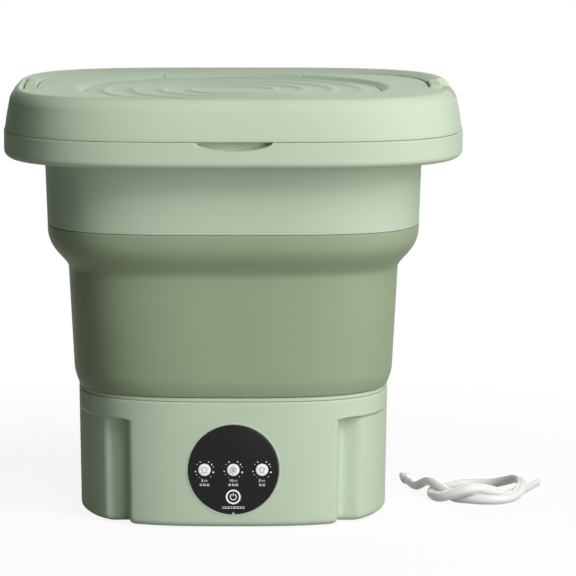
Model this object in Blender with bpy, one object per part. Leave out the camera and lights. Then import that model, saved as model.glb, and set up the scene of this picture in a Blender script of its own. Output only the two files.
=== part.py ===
"""Portable folding mini washer.

A rigid base holds the motor, the controls and the drain. A soft folding wall joins it to a rigid upper
band and collar, and a lift-off lid with a nested carry handle closes the tub. A drain hose lies beside it.
Units are metres, +Z is up, the front faces -Y, and the origin is on the floor below the middle of the tub.
"""

import math

import bmesh
import bpy
import numpy as np
from mathutils import Matrix, Vector

MM = 0.001
GAP = 0.3 * MM                      # clearance between pieces that touch

# Plan shape: every shell is a superellipse, wide in X and shallow in Y
DEPTH_RATIO = 0.855                 # depth of a shell over its width
UPPER_POWER = 3.5                   # squareness of the lid, collar and band
LOWER_POWER = 3.0                   # squareness of the base
PLAN_POINTS = 44

# Base housing
BASE_HALF_WIDTH = 112.2 * MM        # at its top edge
BASE_TAPER = 1.3 * MM               # lost in half width down to the bottom
BASE_EDGE_Z = 1.2 * MM              # bottom edge above the floor
BASE_HEIGHT = 90.2 * MM
BASE_WALL = 2.6 * MM
BASE_ROUND = 4.5 * MM
BASE_LIP = 3.4 * MM                 # height of the straight lip that the bottom cover fits in
FLUTE_ANGLE = math.radians(43.5)    # where each corner groove sits round the plan
FLUTE_HALF_WIDTH = 13.0 * MM
FLUTE_DEPTH = 9.5 * MM
FLUTE_DROP = 13.0 * MM              # the grooves stop this far below the top edge
FLUTE_END = 2.5 * MM                # height over which a groove runs out
LOBE_SETBACK = 2.0 * MM             # the side lobes stand back from the front bay

# Tub floor
FLOOR_THICKNESS = 2.7 * MM
FLOOR_EDGE_INSET = 0.6 * MM
FLOOR_RIB_DEPTH = 4.8 * MM
FLOOR_RIB_WIDTH = 2.8 * MM
HUB_LIP_RADIUS = 12.0 * MM
HUB_LIP_HEIGHT = 4.5 * MM
BEARING_RADIUS = 10.5 * MM
BEARING_LENGTH = 5.0 * MM
SEAL_LENGTH = 6.0 * MM
HUB_WALL = 5.7 * MM

# Folding wall
WALL_HEIGHT = 117.9 * MM
WALL_THICKNESS = 1.8 * MM
WALL_FLANGE = 8.0 * MM
CREASE_HALF_WIDTH = 119.0 * MM      # where the shoulder turns into the straight wall
CREASE_DROP = 33.0 * MM             # crease below the band
FOOT_HALF_WIDTH = 115.6 * MM        # straight wall just above the base
FOOT_RISE = 14.0 * MM

# Upper band and collar
BAND_HALF_WIDTH = 134.0 * MM        # at its bottom edge
BAND_TAPER = 1.7 * MM
BAND_HEIGHT = 49.0 * MM             # visible height below the collar
BAND_WALL = 2.6 * MM
BAND_LIP = 5.4 * MM
COLLAR_HALF_WIDTH = 164.5 * MM
COLLAR_HEIGHT = 18.5 * MM
COLLAR_WALL = 2.6 * MM
COLLAR_ROUND = 4.6 * MM
SCOOP_HALF_WIDTH = 27.0 * MM
SCOOP_HEIGHT = 6.0 * MM
SCOOP_DEPTH = 3.6 * MM

# Lid
LID_HEIGHT = 29.2 * MM
LID_WALL = 2.4 * MM
PANEL_DROP = 3.0 * MM               # centre panel below the rim
SHELF_DROP = 10.5 * MM              # handle shelf below the rim
DISH_RADIUS = 107.0 * MM
DISH_SLOPE = 7.0 * MM
DISH_DEPTH = 2.7 * MM
VENT_RADIUS = 1.5 * MM
VENT_X = 52.0 * MM
VENT_Y = 98.0 * MM
LINER_THICKNESS = 2.0 * MM
LINER_DEPTH = 13.0 * MM
LINER_CLEARANCE = 1.6 * MM
SEAL_WIDTH = 4.4 * MM

# Carry handle
ARM_WIDTH = 8.4 * MM
HANDLE_THICKNESS = 9.2 * MM
HANDLE_SIDE_GAP = 0.7 * MM
ARM_END_Y = 36.0 * MM               # the band narrows to its arm here
PIN_RADIUS = 2.0 * MM
PIN_CLEARANCE = 0.3 * MM
NOTCH_Y = -60.0 * MM                # front end of the finger notch beside the right arm

# Control panel
PANEL_RADIUS = 32.1 * MM
PANEL_THICKNESS = 1.3 * MM
PANEL_Z = 42.9 * MM
WINDOW_RADIUS = 28.5 * MM
LAMP_RADIUS = 4.4 * MM
LAMP_FLANGE = 1.0 * MM
LAMP_PITCH = 20.4 * MM
BUTTON_RADIUS = 5.4 * MM
BUTTON_DROP = 19.4 * MM
BUTTON_TRAVEL = 0.5 * MM
STEM_RADIUS = 1.5 * MM
BOARD_SIZE = (70.0 * MM, 48.0 * MM)
BOARD_THICKNESS = 1.6 * MM
BOARD_SETBACK = 12.0 * MM           # board behind the panel's front face
SWITCH_SIZE = 6.0 * MM
SWITCH_HEIGHT = 3.8 * MM
PLUNGER_RADIUS = 1.7 * MM
POST_RADIUS = 3.0 * MM
POST_X = 31.0 * MM
POST_Z = 62.9 * MM

# Drive
SHAFT_RADIUS = 4.0 * MM
RUNNING_CLEARANCE = 0.1 * MM
MOTOR_RADIUS = 30.0 * MM
MOTOR_LENGTH = 38.0 * MM
MOTOR_DROP = 18.3 * MM              # motor face below the top of the tub floor's underside
MOTOR_BOSS_RADIUS = 10.0 * MM
BRACKET_SIZE = (98.0 * MM, 66.0 * MM)
BRACKET_THICKNESS = 2.5 * MM
MOTOR_SCREW_PLACE = (42.0 * MM, 26.0 * MM)
PULSATOR_RADIUS = 56.0 * MM
PULSATOR_RISE = 3.0 * MM            # underside above the tub floor
PULSATOR_RIM = 6.0 * MM
PULSATOR_HUB = 17.0 * MM            # hub height above the tub floor
PULSATOR_WAVES = 6
CAP_RADIUS = 8.5 * MM
CAP_HEIGHT = 2.6 * MM
CAP_STEM = 2.6 * MM
BASKET_RADIUS = 88.0 * MM
BASKET_HEIGHT = 35.0 * MM
BASKET_WALL = 2.0 * MM
BASKET_SLOTS = 12

# Drain and inlet, at the back
DRAIN_X = -35.0 * MM
DRAIN_Y = 70.0 * MM
DRAIN_Z = 24.0 * MM
DRAIN_BEND = 18.0 * MM
SPOUT_RADIUS = 6.5 * MM
SPOUT_WALL = 2.0 * MM
SPOUT_REACH = 10.0 * MM             # spout beyond the back of the base
DRAIN_CAP_WALL = 2.0 * MM
DRAIN_CAP_LENGTH = 9.0 * MM
SOCKET_X = 45.0 * MM
SOCKET_Z = 30.0 * MM
SOCKET_RADIUS = 4.2 * MM
SOCKET_BORE = 2.8 * MM
SOCKET_LENGTH = 17.0 * MM

# Bottom
COVER_THICKNESS = 2.0 * MM
COVER_LIFT = 0.8 * MM               # cover above the housing's bottom edge
FOOT_RADIUS = 9.0 * MM
FOOT_PLACE = (78.0 * MM, 46.0 * MM)
COLUMN_RADIUS = 5.0 * MM
COLUMN_HEIGHT = 26.0 * MM
COLUMN_INSET = 17.0 * MM            # column centre from the outer wall
COLUMN_Y = 26.0 * MM

# Screws
SCREW_RADIUS = 1.5 * MM
PILOT_RADIUS = 1.8 * MM
SCREW_HEAD_RADIUS = 3.2 * MM
SCREW_HEAD_HEIGHT = 1.6 * MM
SCREW_LENGTH = 9.0 * MM

# Hose
HOSE_DIAMETER = 7.4 * MM
HOSE_POINTS = 44
ADAPTER_RADIUS = 4.6 * MM
ADAPTER_LENGTH = 11.0 * MM

# Heights that follow from the sizes above
BASE_TOP = BASE_EDGE_Z + BASE_HEIGHT
FLOOR_UNDER = BASE_TOP + GAP
FLOOR_TOP = FLOOR_UNDER + FLOOR_THICKNESS
WALL_BOTTOM = FLOOR_TOP + GAP
WALL_TOP = WALL_BOTTOM + WALL_HEIGHT
BAND_BOTTOM = WALL_TOP + GAP
COLLAR_BOTTOM = BAND_BOTTOM + BAND_HEIGHT
COLLAR_TOP = COLLAR_BOTTOM + COLLAR_HEIGHT
LID_BOTTOM = COLLAR_TOP + GAP
LID_TOP = LID_BOTTOM + LID_HEIGHT
BAND_TOP_HALF_WIDTH = BAND_HALF_WIDTH + BAND_TAPER
BAND_LIP_TOP = COLLAR_TOP - 3.0 * MM
PIVOT_Z = LID_TOP - 0.9 * MM - HANDLE_THICKNESS / 2
PANEL_FACE_Y = -(BASE_HALF_WIDTH * DEPTH_RATIO - 0.4 * MM)
BOARD_FRONT_Y = PANEL_FACE_Y + BOARD_SETBACK
BEARING_BOTTOM = FLOOR_UNDER - 13.0 * MM
MOTOR_TOP = FLOOR_UNDER - MOTOR_DROP


# ---------------------------------------------------------------- materials

def linear(hex_colour):
    """Turn an sRGB hex colour into a linear RGBA tuple."""
    channels = [int(hex_colour[i:i + 2], 16) / 255 for i in (0, 2, 4)]
    return tuple(c / 12.92 if c <= 0.04045 else ((c + 0.055) / 1.055) ** 2.4 for c in channels) + (1.0,)


FINISHES = {
    "green_shell": ("B7C6AF", 0.45, 0.0),
    "wall_elastomer": ("8B987C", 0.6, 0.0),
    "panel_gloss": ("1F1F1F", 0.15, 0.0),
    "lamp_white": ("F2F2F0", 0.3, 0.0),
    "white_plastic": ("E6E8E4", 0.4, 0.0),
    "hose_clear": ("E2E4E2", 0.35, 0.0),
    "dark_rubber": ("3A3D38", 0.8, 0.0),
    "zinc_steel": ("B9BCBE", 0.35, 1.0),
    "board_green": ("2E6B45", 0.5, 0.0),
    "black_plastic": ("232323", 0.5, 0.0),
}


def finish(obj, name):
    """Give an object one of the named finishes."""
    material = bpy.data.materials.get(name) or bpy.data.materials.new(name)
    colour, roughness, metallic = FINISHES[name]
    material.use_nodes = True
    shader = material.node_tree.nodes["Principled BSDF"]
    shader.inputs["Base Color"].default_value = linear(colour)
    shader.inputs["Roughness"].default_value = roughness
    shader.inputs["Metallic"].default_value = metallic
    obj.data.materials.append(material)


# ---------------------------------------------------------------- building blocks

def new_object(name, bm, finish_name, location=(0, 0, 0)):
    """Close a bmesh into a named object, its faces pointing out."""
    bmesh.ops.remove_doubles(bm, verts=bm.verts, dist=1e-6)
    bmesh.ops.dissolve_degenerate(bm, edges=bm.edges, dist=1e-6)
    bmesh.ops.recalc_face_normals(bm, faces=bm.faces)
    mesh = bpy.data.meshes.new(name)
    bm.to_mesh(mesh)
    bm.free()
    mesh.shade_smooth()
    mesh.set_sharp_from_angle(angle=math.radians(35))
    obj = bpy.data.objects.new(name, mesh)
    obj.location = location
    bpy.context.scene.collection.objects.link(obj)
    if finish_name:
        finish(obj, finish_name)
    return obj


def plan_angles(*extra):
    """Angles round the plan: an even set, with extra ones where a shape needs them."""
    even = np.linspace(0, 2 * math.pi, PLAN_POINTS, endpoint=False)
    added = np.mod(np.radians(np.concatenate(extra)), 2 * math.pi) if extra else np.empty(0)
    far = [a for a in even if added.size == 0 or np.abs(np.angle(np.exp(1j * (a - added)))).min() > 0.03]
    return np.unique(np.round(np.concatenate([far, added]), 6))


def plan_radius(angles, half_width, inset=0.0, power=UPPER_POWER):
    """Distance from the axis to a superellipse, moved inwards by inset, at each angle."""
    across = np.abs(np.cos(angles)) / (half_width - inset)
    along = np.abs(np.sin(angles)) / (half_width * DEPTH_RATIO - inset)
    return (across ** power + along ** power) ** (-1 / power)


def ring(angles, radius, height):
    """Points round the axis at a radius and height, either of which may change with the angle."""
    radius = np.broadcast_to(radius, angles.shape)
    height = np.broadcast_to(height, angles.shape)
    return np.stack([radius * np.cos(angles), radius * np.sin(angles), height], axis=1)


def loft(name, rings, finish_name, hollow=False, location=(0, 0, 0)):
    """Skin rings of equal count. A hollow loft joins its last ring to its first; others are capped."""
    bm = bmesh.new()
    loops = [[bm.verts.new(Vector(point) - Vector(location)) for point in points] for points in rings]
    pairs = list(zip(loops, loops[1:]))
    if hollow:
        pairs.append((loops[-1], loops[0]))
    for lower, upper in pairs:
        for i in range(len(lower)):
            j = (i + 1) % len(lower)
            bm.faces.new((lower[i], lower[j], upper[j], upper[i]))
    if not hollow:
        bm.faces.new(loops[0])
        bm.faces.new(loops[-1])
    return new_object(name, bm, finish_name, location)


def turned(name, profile, finish_name, location=(0, 0, 0), axis="Z", sides=32):
    """Turn a closed (radius, height) outline once round its axis, then lay the axis along Y or X."""
    bm = bmesh.new()
    verts = [bm.verts.new((radius, 0, height)) for radius, height in profile]
    edges = [bm.edges.new((verts[i], verts[(i + 1) % len(verts)])) for i in range(len(verts))]
    bmesh.ops.spin(bm, geom=verts + edges, cent=(0, 0, 0), axis=(0, 0, 1), angle=2 * math.pi,
                   steps=sides, use_merge=True, use_duplicate=False)
    turns = {
        "Z": Matrix(),
        "Y": Matrix.Rotation(-math.pi / 2, 4, "X"),
        "X": Matrix.Rotation(math.pi / 2, 4, "Y"),
    }
    bm.transform(turns[axis])
    return new_object(name, bm, finish_name, location)


def rod(name, radius, length, finish_name, location, axis="Z", sides=24):
    """A plain round rod that starts at its location and runs along its axis."""
    profile = [(0, 0), (radius, 0), (radius, length), (0, length)]
    return turned(name, profile, finish_name, location, axis, sides)


def tube(name, bore, radius, length, finish_name, location, axis="Z", sides=32):
    """A round tube that starts at its location and runs along its axis."""
    profile = [(bore, 0), (radius, 0), (radius, length), (bore, length)]
    return turned(name, profile, finish_name, location, axis, sides)


def block(name, size, finish_name, location):
    """A box of the given size centred on its location."""
    bm = bmesh.new()
    bmesh.ops.create_cube(bm, size=1.0)
    bmesh.ops.scale(bm, vec=size, verts=bm.verts)
    return new_object(name, bm, finish_name, location)


def combine(target, tools, operation="DIFFERENCE"):
    """Cut tools from a target, or join them to it, and remove the tools."""
    for tool in tools:
        modifier = target.modifiers.new("cut", "BOOLEAN")
        modifier.operation = operation
        modifier.solver = "EXACT"
        modifier.object = tool
    depsgraph = bpy.context.evaluated_depsgraph_get()
    depsgraph.update()
    result = bpy.data.meshes.new_from_object(target.evaluated_get(depsgraph))
    target.modifiers.clear()
    target.data = result
    result.set_sharp_from_angle(angle=math.radians(35))
    for tool in tools:
        bpy.data.objects.remove(tool)


def mirrored_places(place):
    """The four places at plus and minus x and y."""
    x, y = place
    return [(x, y), (-x, y), (-x, -y), (x, -y)]


def smooth_step(value, start, end):
    """Rise smoothly from 0 at start to 1 at end."""
    t = np.clip((value - start) / (end - start), 0, 1)
    return t * t * (3 - 2 * t)


# ---------------------------------------------------------------- base

def base_angles():
    """Even angles, with more of them across the four corner grooves."""
    flute = math.degrees(FLUTE_ANGLE)
    steps = np.arange(-3, 4) * 2.6
    return plan_angles(*[centre + steps for centre in (flute, 180 - flute, 180 + flute, 360 - flute)])


def base_half_width(height):
    """Half width of the base's outside at a height above the floor."""
    return BASE_HALF_WIDTH - BASE_TAPER * (BASE_TOP - height) / BASE_HEIGHT


def base_outline(angles, height, inset=0.0, shrink=0.0):
    """The base's plan: a superellipse with a groove at each corner and set-back side lobes.

    inset is the wall that a groove keeps round it, and shrink moves the whole line further in.
    """
    radius = plan_radius(angles, base_half_width(height), inset + shrink, LOWER_POWER)
    folded = np.arctan2(np.abs(np.sin(angles)), np.abs(np.cos(angles)))
    corner = plan_radius(np.array([FLUTE_ANGLE]), BASE_HALF_WIDTH, 0, LOWER_POWER)[0]
    aside = corner * (folded - FLUTE_ANGLE) / (FLUTE_HALF_WIDTH + inset)
    ledge = BASE_TOP - FLUTE_DROP + inset
    above = max(0.0, height - (ledge - FLUTE_END)) / FLUTE_END
    reach = np.minimum(1, np.hypot(aside, above))
    groove = FLUTE_DEPTH * np.cos(math.pi / 2 * reach) ** 2
    lobe = smooth_step(np.degrees(folded), 8, 26) * (1 - smooth_step(np.degrees(folded), 41, 46))
    return radius - groove - LOBE_SETBACK * lobe * max(0.0, 1 - above)


def rounded_bottom(steps=3):
    """Inset and height of each point of the base's rounded bottom edge, top to bottom."""
    turns = [math.pi / 2 * i / steps for i in range(steps + 1)]
    return [(BASE_ROUND * (1 - math.cos(t)), BASE_EDGE_Z + BASE_ROUND * (1 - math.sin(t))) for t in turns]


def base_housing():
    """The outer shell of the base, open at the top and bottom."""
    angles = base_angles()
    ledge = BASE_TOP - FLUTE_DROP
    rings = []
    for height in (BASE_TOP, ledge, ledge - FLUTE_END):
        rings.append(ring(angles, base_outline(angles, height), height))
    for inset, height in rounded_bottom():
        rings.append(ring(angles, base_outline(angles, height, 0, inset), height))
    lip_inset = BASE_ROUND + BASE_WALL
    for height in (BASE_EDGE_Z, BASE_EDGE_Z + BASE_LIP):
        rings.append(ring(angles, base_outline(angles, height, BASE_WALL, lip_inset - BASE_WALL), height))
    inner_ledge = ledge + BASE_WALL
    for height in (BASE_EDGE_Z + 10 * MM, inner_ledge - FLUTE_END, inner_ledge, BASE_TOP):
        rings.append(ring(angles, base_outline(angles, height, BASE_WALL), height))
    housing = loft("base_housing", rings, "green_shell", hollow=True)

    joins = []
    for x, y in column_places():
        joins.append(rod("column", COLUMN_RADIUS, COLUMN_HEIGHT, None, (x, y, column_bottom()), sides=12))
        outward = math.copysign(1, x)
        inner_wall = BASE_HALF_WIDTH - BASE_TAPER - BASE_WALL
        reach = inner_wall - abs(x) + BASE_WALL / 2
        rib_bottom = BASE_EDGE_Z + 12 * MM
        rib_height = column_bottom() + COLUMN_HEIGHT - rib_bottom - 1 * MM
        joins.append(block("rib", (reach, 2 * MM, rib_height), None,
                           (x + outward * reach / 2, y, rib_bottom + rib_height / 2)))
    for x in (-POST_X, POST_X):
        wall_y = -plan_point_depth(x, BASE_HALF_WIDTH - BASE_TAPER, LOWER_POWER) + BASE_WALL / 2
        length = BOARD_FRONT_Y - GAP - wall_y
        joins.append(rod("post", POST_RADIUS, length, None, (x, wall_y, POST_Z), "Y", 12))
    combine(housing, joins, "UNION")

    cuts = [
        rod("recess", PANEL_RADIUS + GAP, 20 * MM, None, (0, panel_seat_y() - 20 * MM, PANEL_Z), "Y", 40),
        rod("window", WINDOW_RADIUS, 20 * MM, None, (0, PANEL_FACE_Y - 5 * MM, PANEL_Z), "Y", 32),
        rod("socket_hole", SOCKET_RADIUS + GAP, 30 * MM, None, (SOCKET_X, back_y(SOCKET_X, SOCKET_Z) - 15 * MM,
                                                               SOCKET_Z), "Y", 20),
        rod("spout_hole", SPOUT_RADIUS + GAP, 30 * MM, None, (DRAIN_X, back_y(DRAIN_X, DRAIN_Z) - 15 * MM,
                                                            DRAIN_Z), "Y", 24),
    ]
    for x, y in column_places():
        cuts.append(rod("pilot", PILOT_RADIUS, 12 * MM, None, (x, y, column_bottom() - 1 * MM), sides=12))
    for x in (-POST_X, POST_X):
        cuts.append(rod("pilot", PILOT_RADIUS, 7 * MM, None, (x, BOARD_FRONT_Y - 6 * MM, POST_Z), "Y", 12))
    combine(housing, cuts)


def plan_point_depth(x, half_width, power):
    """How far a superellipse reaches along Y at a given x."""
    return half_width * DEPTH_RATIO * (1 - (abs(x) / half_width) ** power) ** (1 / power)


def back_y(x, height):
    """Outside of the base's back wall at a given x and height."""
    return plan_point_depth(x, base_half_width(height), LOWER_POWER)


def panel_seat_y():
    """The step in the housing that the panel rests on."""
    return PANEL_FACE_Y + PANEL_THICKNESS + GAP


def cover_top():
    """Upper face of the bottom cover."""
    return BASE_EDGE_Z + COVER_LIFT + COVER_THICKNESS


def column_bottom():
    """Lower end of the columns that the bottom screws bite in."""
    return cover_top() + GAP


def column_places():
    """Screw columns, beside the side walls."""
    return mirrored_places((BASE_HALF_WIDTH - COLUMN_INSET, COLUMN_Y))


def bottom_cover():
    """The plate that closes the base, with a hole for each screw."""
    angles = base_angles()
    inset = BASE_ROUND + GAP
    rings = []
    for height in (cover_top(), cover_top() - COVER_THICKNESS):
        rings.append(ring(angles, base_outline(angles, BASE_EDGE_Z, BASE_WALL, inset), height))
    cover = loft("bottom_cover", rings, "green_shell")
    holes = [rod("hole", PILOT_RADIUS, 6 * MM, None, (x, y, BASE_EDGE_Z - 1 * MM), sides=12)
             for x, y in column_places()]
    combine(cover, holes)


def feet():
    """Four rubber feet under the bottom cover."""
    height = cover_top() - COVER_THICKNESS - GAP
    profile = [(0, 0), (FOOT_RADIUS - 1 * MM, 0), (FOOT_RADIUS, 1 * MM), (FOOT_RADIUS, height), (0, height)]
    for number, (x, y) in enumerate(mirrored_places(FOOT_PLACE), 1):
        turned(f"rubber_foot_{number}", profile, "dark_rubber", (x, y, 0), sides=20)


def screw(name, location, axis="Z", inward=1, length=SCREW_LENGTH):
    """A pan-head screw: its head sits at the location and its shank runs along the axis from there."""
    head = inward * SCREW_HEAD_HEIGHT
    profile = [(0, 0), (SCREW_HEAD_RADIUS * 0.8, 0), (SCREW_HEAD_RADIUS, head * 0.4), (SCREW_HEAD_RADIUS, head),
               (SCREW_RADIUS, head), (SCREW_RADIUS, head + inward * length), (0, head + inward * length)]
    turned(name, profile, "zinc_steel", location, axis, 12)


def tub_floor():
    """The rigid floor of the tub, with its locating rib, motor bosses, hub and drain hole."""
    angles = plan_angles()
    edge = base_half_width(BASE_TOP)
    rib_inset = BASE_WALL + GAP * 2
    rib_outer = plan_radius(angles, edge, rib_inset, LOWER_POWER)
    rib_inner = plan_radius(angles, edge, rib_inset + FLOOR_RIB_WIDTH, LOWER_POWER)
    hub_radius = BEARING_RADIUS + GAP + HUB_WALL
    seat_top = BEARING_BOTTOM + BEARING_LENGTH + SEAL_LENGTH + 2 * GAP
    bore = BEARING_RADIUS + GAP
    neck = SHAFT_RADIUS + 3.5 * MM
    rings = [
        ring(angles, plan_radius(angles, edge, FLOOR_EDGE_INSET, LOWER_POWER), FLOOR_TOP),
        ring(angles, HUB_LIP_RADIUS, FLOOR_TOP),
        ring(angles, HUB_LIP_RADIUS, FLOOR_TOP + HUB_LIP_HEIGHT),
        ring(angles, neck, FLOOR_TOP + HUB_LIP_HEIGHT),
        ring(angles, neck, seat_top),
        ring(angles, bore, seat_top),
        ring(angles, bore, BEARING_BOTTOM - 1 * MM),
        ring(angles, hub_radius, BEARING_BOTTOM - 1 * MM),
        ring(angles, hub_radius, FLOOR_UNDER),
        ring(angles, rib_inner, FLOOR_UNDER),
        ring(angles, rib_inner, FLOOR_UNDER - FLOOR_RIB_DEPTH),
        ring(angles, rib_outer, FLOOR_UNDER - FLOOR_RIB_DEPTH),
        ring(angles, rib_outer, FLOOR_UNDER),
        ring(angles, plan_radius(angles, edge, FLOOR_EDGE_INSET, LOWER_POWER), FLOOR_UNDER),
    ]
    floor = loft("tub_floor", rings, "green_shell", hollow=True)
    boss_bottom = MOTOR_TOP + GAP + BRACKET_THICKNESS + GAP
    boss_height = FLOOR_UNDER + FLOOR_THICKNESS / 2 - boss_bottom
    bosses = [rod("boss", COLUMN_RADIUS, boss_height, None, (x, y, boss_bottom), sides=12)
              for x, y in mirrored_places(MOTOR_SCREW_PLACE)]
    combine(floor, bosses, "UNION")
    cuts = [rod("pilot", PILOT_RADIUS, 11 * MM, None, (x, y, boss_bottom - 1 * MM), sides=12)
            for x, y in mirrored_places(MOTOR_SCREW_PLACE)]
    drain_start = (DRAIN_X, DRAIN_Y, FLOOR_UNDER - 10 * MM)
    cuts.append(rod("drain", SPOUT_RADIUS - SPOUT_WALL, 20 * MM, None, drain_start))
    combine(floor, cuts)


# ---------------------------------------------------------------- folding wall, band and collar

def wall_half_width(height):
    """Half width of the folding wall's outside: a curved foot, a straight wall and a rounded shoulder."""
    rise = height - WALL_BOTTOM
    crease_z = WALL_TOP - CREASE_DROP
    if rise < FOOT_RISE:
        return BASE_HALF_WIDTH + (FOOT_HALF_WIDTH - BASE_HALF_WIDTH) * math.sin(math.pi / 2 * rise / FOOT_RISE)
    if height < crease_z:
        along = (rise - FOOT_RISE) / (crease_z - WALL_BOTTOM - FOOT_RISE)
        return FOOT_HALF_WIDTH + (CREASE_HALF_WIDTH - FOOT_HALF_WIDTH) * along
    drop = (WALL_TOP - height) / CREASE_DROP
    return CREASE_HALF_WIDTH + (BAND_HALF_WIDTH - CREASE_HALF_WIDTH) * (1 - drop ** 3) ** 2.2


def wall_power(height):
    """Squareness of the wall, from the base's at its foot to the band's at its crease."""
    along = (height - WALL_BOTTOM) / (WALL_HEIGHT - CREASE_DROP)
    return LOWER_POWER + (UPPER_POWER - LOWER_POWER) * min(1.0, along)


def folding_wall():
    """The soft wall between the base and the band, with a flange at each end."""
    angles = plan_angles()
    crease_z = WALL_TOP - CREASE_DROP
    shoulder = [WALL_TOP - CREASE_DROP * t for t in (0.8, 0.65, 0.5, 0.3)]
    foot = [WALL_BOTTOM, WALL_BOTTOM + FOOT_RISE / 2, WALL_BOTTOM + FOOT_RISE]
    heights = foot + [crease_z] + shoulder + [WALL_TOP]

    def wall_ring(height, inset, at=None):
        radius = plan_radius(angles, wall_half_width(height), inset, wall_power(height))
        return ring(angles, radius, height if at is None else at)

    rings = [wall_ring(height, 0) for height in heights]
    rings.append(wall_ring(WALL_TOP, WALL_FLANGE))
    rings.append(wall_ring(WALL_TOP, WALL_FLANGE, WALL_TOP - WALL_THICKNESS))
    rings += [wall_ring(height, WALL_THICKNESS) for height in reversed(heights[1:-1])]
    rings.append(wall_ring(WALL_BOTTOM, WALL_FLANGE, WALL_BOTTOM + WALL_THICKNESS))
    rings.append(wall_ring(WALL_BOTTOM, WALL_FLANGE))
    loft("folding_wall", rings, "wall_elastomer", hollow=True)


def upper_band():
    """The rigid ring round the top of the tub, with a lip that hangs on the collar."""
    angles = plan_angles()
    lip_under = BAND_LIP_TOP - 2.2 * MM

    def band_ring(half_width, inset, height):
        return ring(angles, plan_radius(angles, half_width, inset), height)

    rings = [
        band_ring(BAND_HALF_WIDTH, 0, BAND_BOTTOM),
        band_ring(BAND_TOP_HALF_WIDTH, 0, COLLAR_BOTTOM),
        band_ring(BAND_TOP_HALF_WIDTH, 0, lip_under),
        band_ring(BAND_TOP_HALF_WIDTH, -BAND_LIP, lip_under),
        band_ring(BAND_TOP_HALF_WIDTH, -BAND_LIP, BAND_LIP_TOP),
        band_ring(BAND_TOP_HALF_WIDTH, BAND_WALL, BAND_LIP_TOP),
        band_ring(BAND_TOP_HALF_WIDTH, BAND_WALL, COLLAR_BOTTOM),
        band_ring(BAND_HALF_WIDTH, BAND_WALL, BAND_BOTTOM),
    ]
    loft("upper_band", rings, "green_shell", hollow=True)


def scoop_depth(angles, radius, height, grow=0.0):
    """How far the finger scoop presses the collar's wall in, a half ellipse cut down from the top edge."""
    across = radius * np.cos(angles) / (SCOOP_HALF_WIDTH + grow)
    down = (COLLAR_TOP - height) / (SCOOP_HEIGHT + grow)
    inside = np.clip(1 - across ** 2 - down ** 2, 0, 1)
    return np.where(np.sin(angles) < 0, SCOOP_DEPTH * np.sqrt(inside), 0)


def tub_collar():
    """The wide rim that carries the lid: a channel, open at the top, with a finger scoop in front."""
    front = np.array([0, 2.4, 4.8, 7.2, 9.4, 10.8])
    angles = plan_angles(270 + front, 270 - front)
    round_steps = [(COLLAR_ROUND * (1 - math.cos(t)), COLLAR_BOTTOM + COLLAR_ROUND * (1 - math.sin(t)))
                   for t in (math.pi / 6, math.pi / 3, math.pi / 2)]

    def outer(inset, height, grow=0.0):
        radius = plan_radius(angles, COLLAR_HALF_WIDTH, inset)
        return ring(angles, radius - scoop_depth(angles, radius, height, grow), height)

    drops = [SCOOP_HEIGHT * share for share in (0, 0.4, 0.75, 1.0)]
    rings = [outer(0, COLLAR_TOP - drop) for drop in drops]
    rings += [outer(inset, height) for inset, height in round_steps]
    hole = BAND_TOP_HALF_WIDTH
    wall_top = BAND_LIP_TOP - 2.2 * MM - GAP
    for inset, height in ((-GAP, COLLAR_BOTTOM), (-GAP, wall_top), (-GAP - 2.4 * MM, wall_top),
                          (-GAP - 2.4 * MM, COLLAR_BOTTOM + COLLAR_WALL)):
        rings.append(ring(angles, plan_radius(angles, hole, inset), height))
    rings.append(outer(COLLAR_ROUND, COLLAR_BOTTOM + COLLAR_WALL))
    rings.append(outer(COLLAR_WALL, COLLAR_BOTTOM + COLLAR_ROUND))
    for drop in (SCOOP_HEIGHT + COLLAR_WALL, SCOOP_HEIGHT * 0.75, SCOOP_HEIGHT * 0.4, 0):
        rings.append(outer(COLLAR_WALL, COLLAR_TOP - drop, COLLAR_WALL / 2))
    loft("tub_collar", rings, "green_shell", hollow=True)


# ---------------------------------------------------------------- lid and handle

LID_HALF_WIDTH = COLLAR_HALF_WIDTH - 0.8 * MM
SKIRT_TOP_INSET = 3.1 * MM
RIM_CREST_INSET = 9.6 * MM
GROOVE_OUTER_INSET = 12.3 * MM
GROOVE_INNER_INSET = GROOVE_OUTER_INSET + ARM_WIDTH + 2 * HANDLE_SIDE_GAP
PANEL_INSET = GROOVE_INNER_INSET + 0.6 * MM
GROOVE_START_Y = -20.0 * MM
SIDE_STEP = 0.35                    # degrees between the two sides of a step in the lid


def side_angle(y):
    """Angle in degrees from the middle of a side to a place y along it."""
    return math.degrees(math.atan2(y, LID_HALF_WIDTH - GROOVE_OUTER_INSET))


def lid_angles():
    """Even angles, with pairs where the handle shelf, the pivot groove and the finger notch start."""
    steps = []
    for y in (ARM_END_Y - HANDLE_SIDE_GAP, GROOVE_START_Y, NOTCH_Y):
        centre = side_angle(y)
        for lift in (centre - SIDE_STEP, centre + SIDE_STEP):
            steps += [lift, 180 - lift]
    return plan_angles(np.array(steps))


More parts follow.
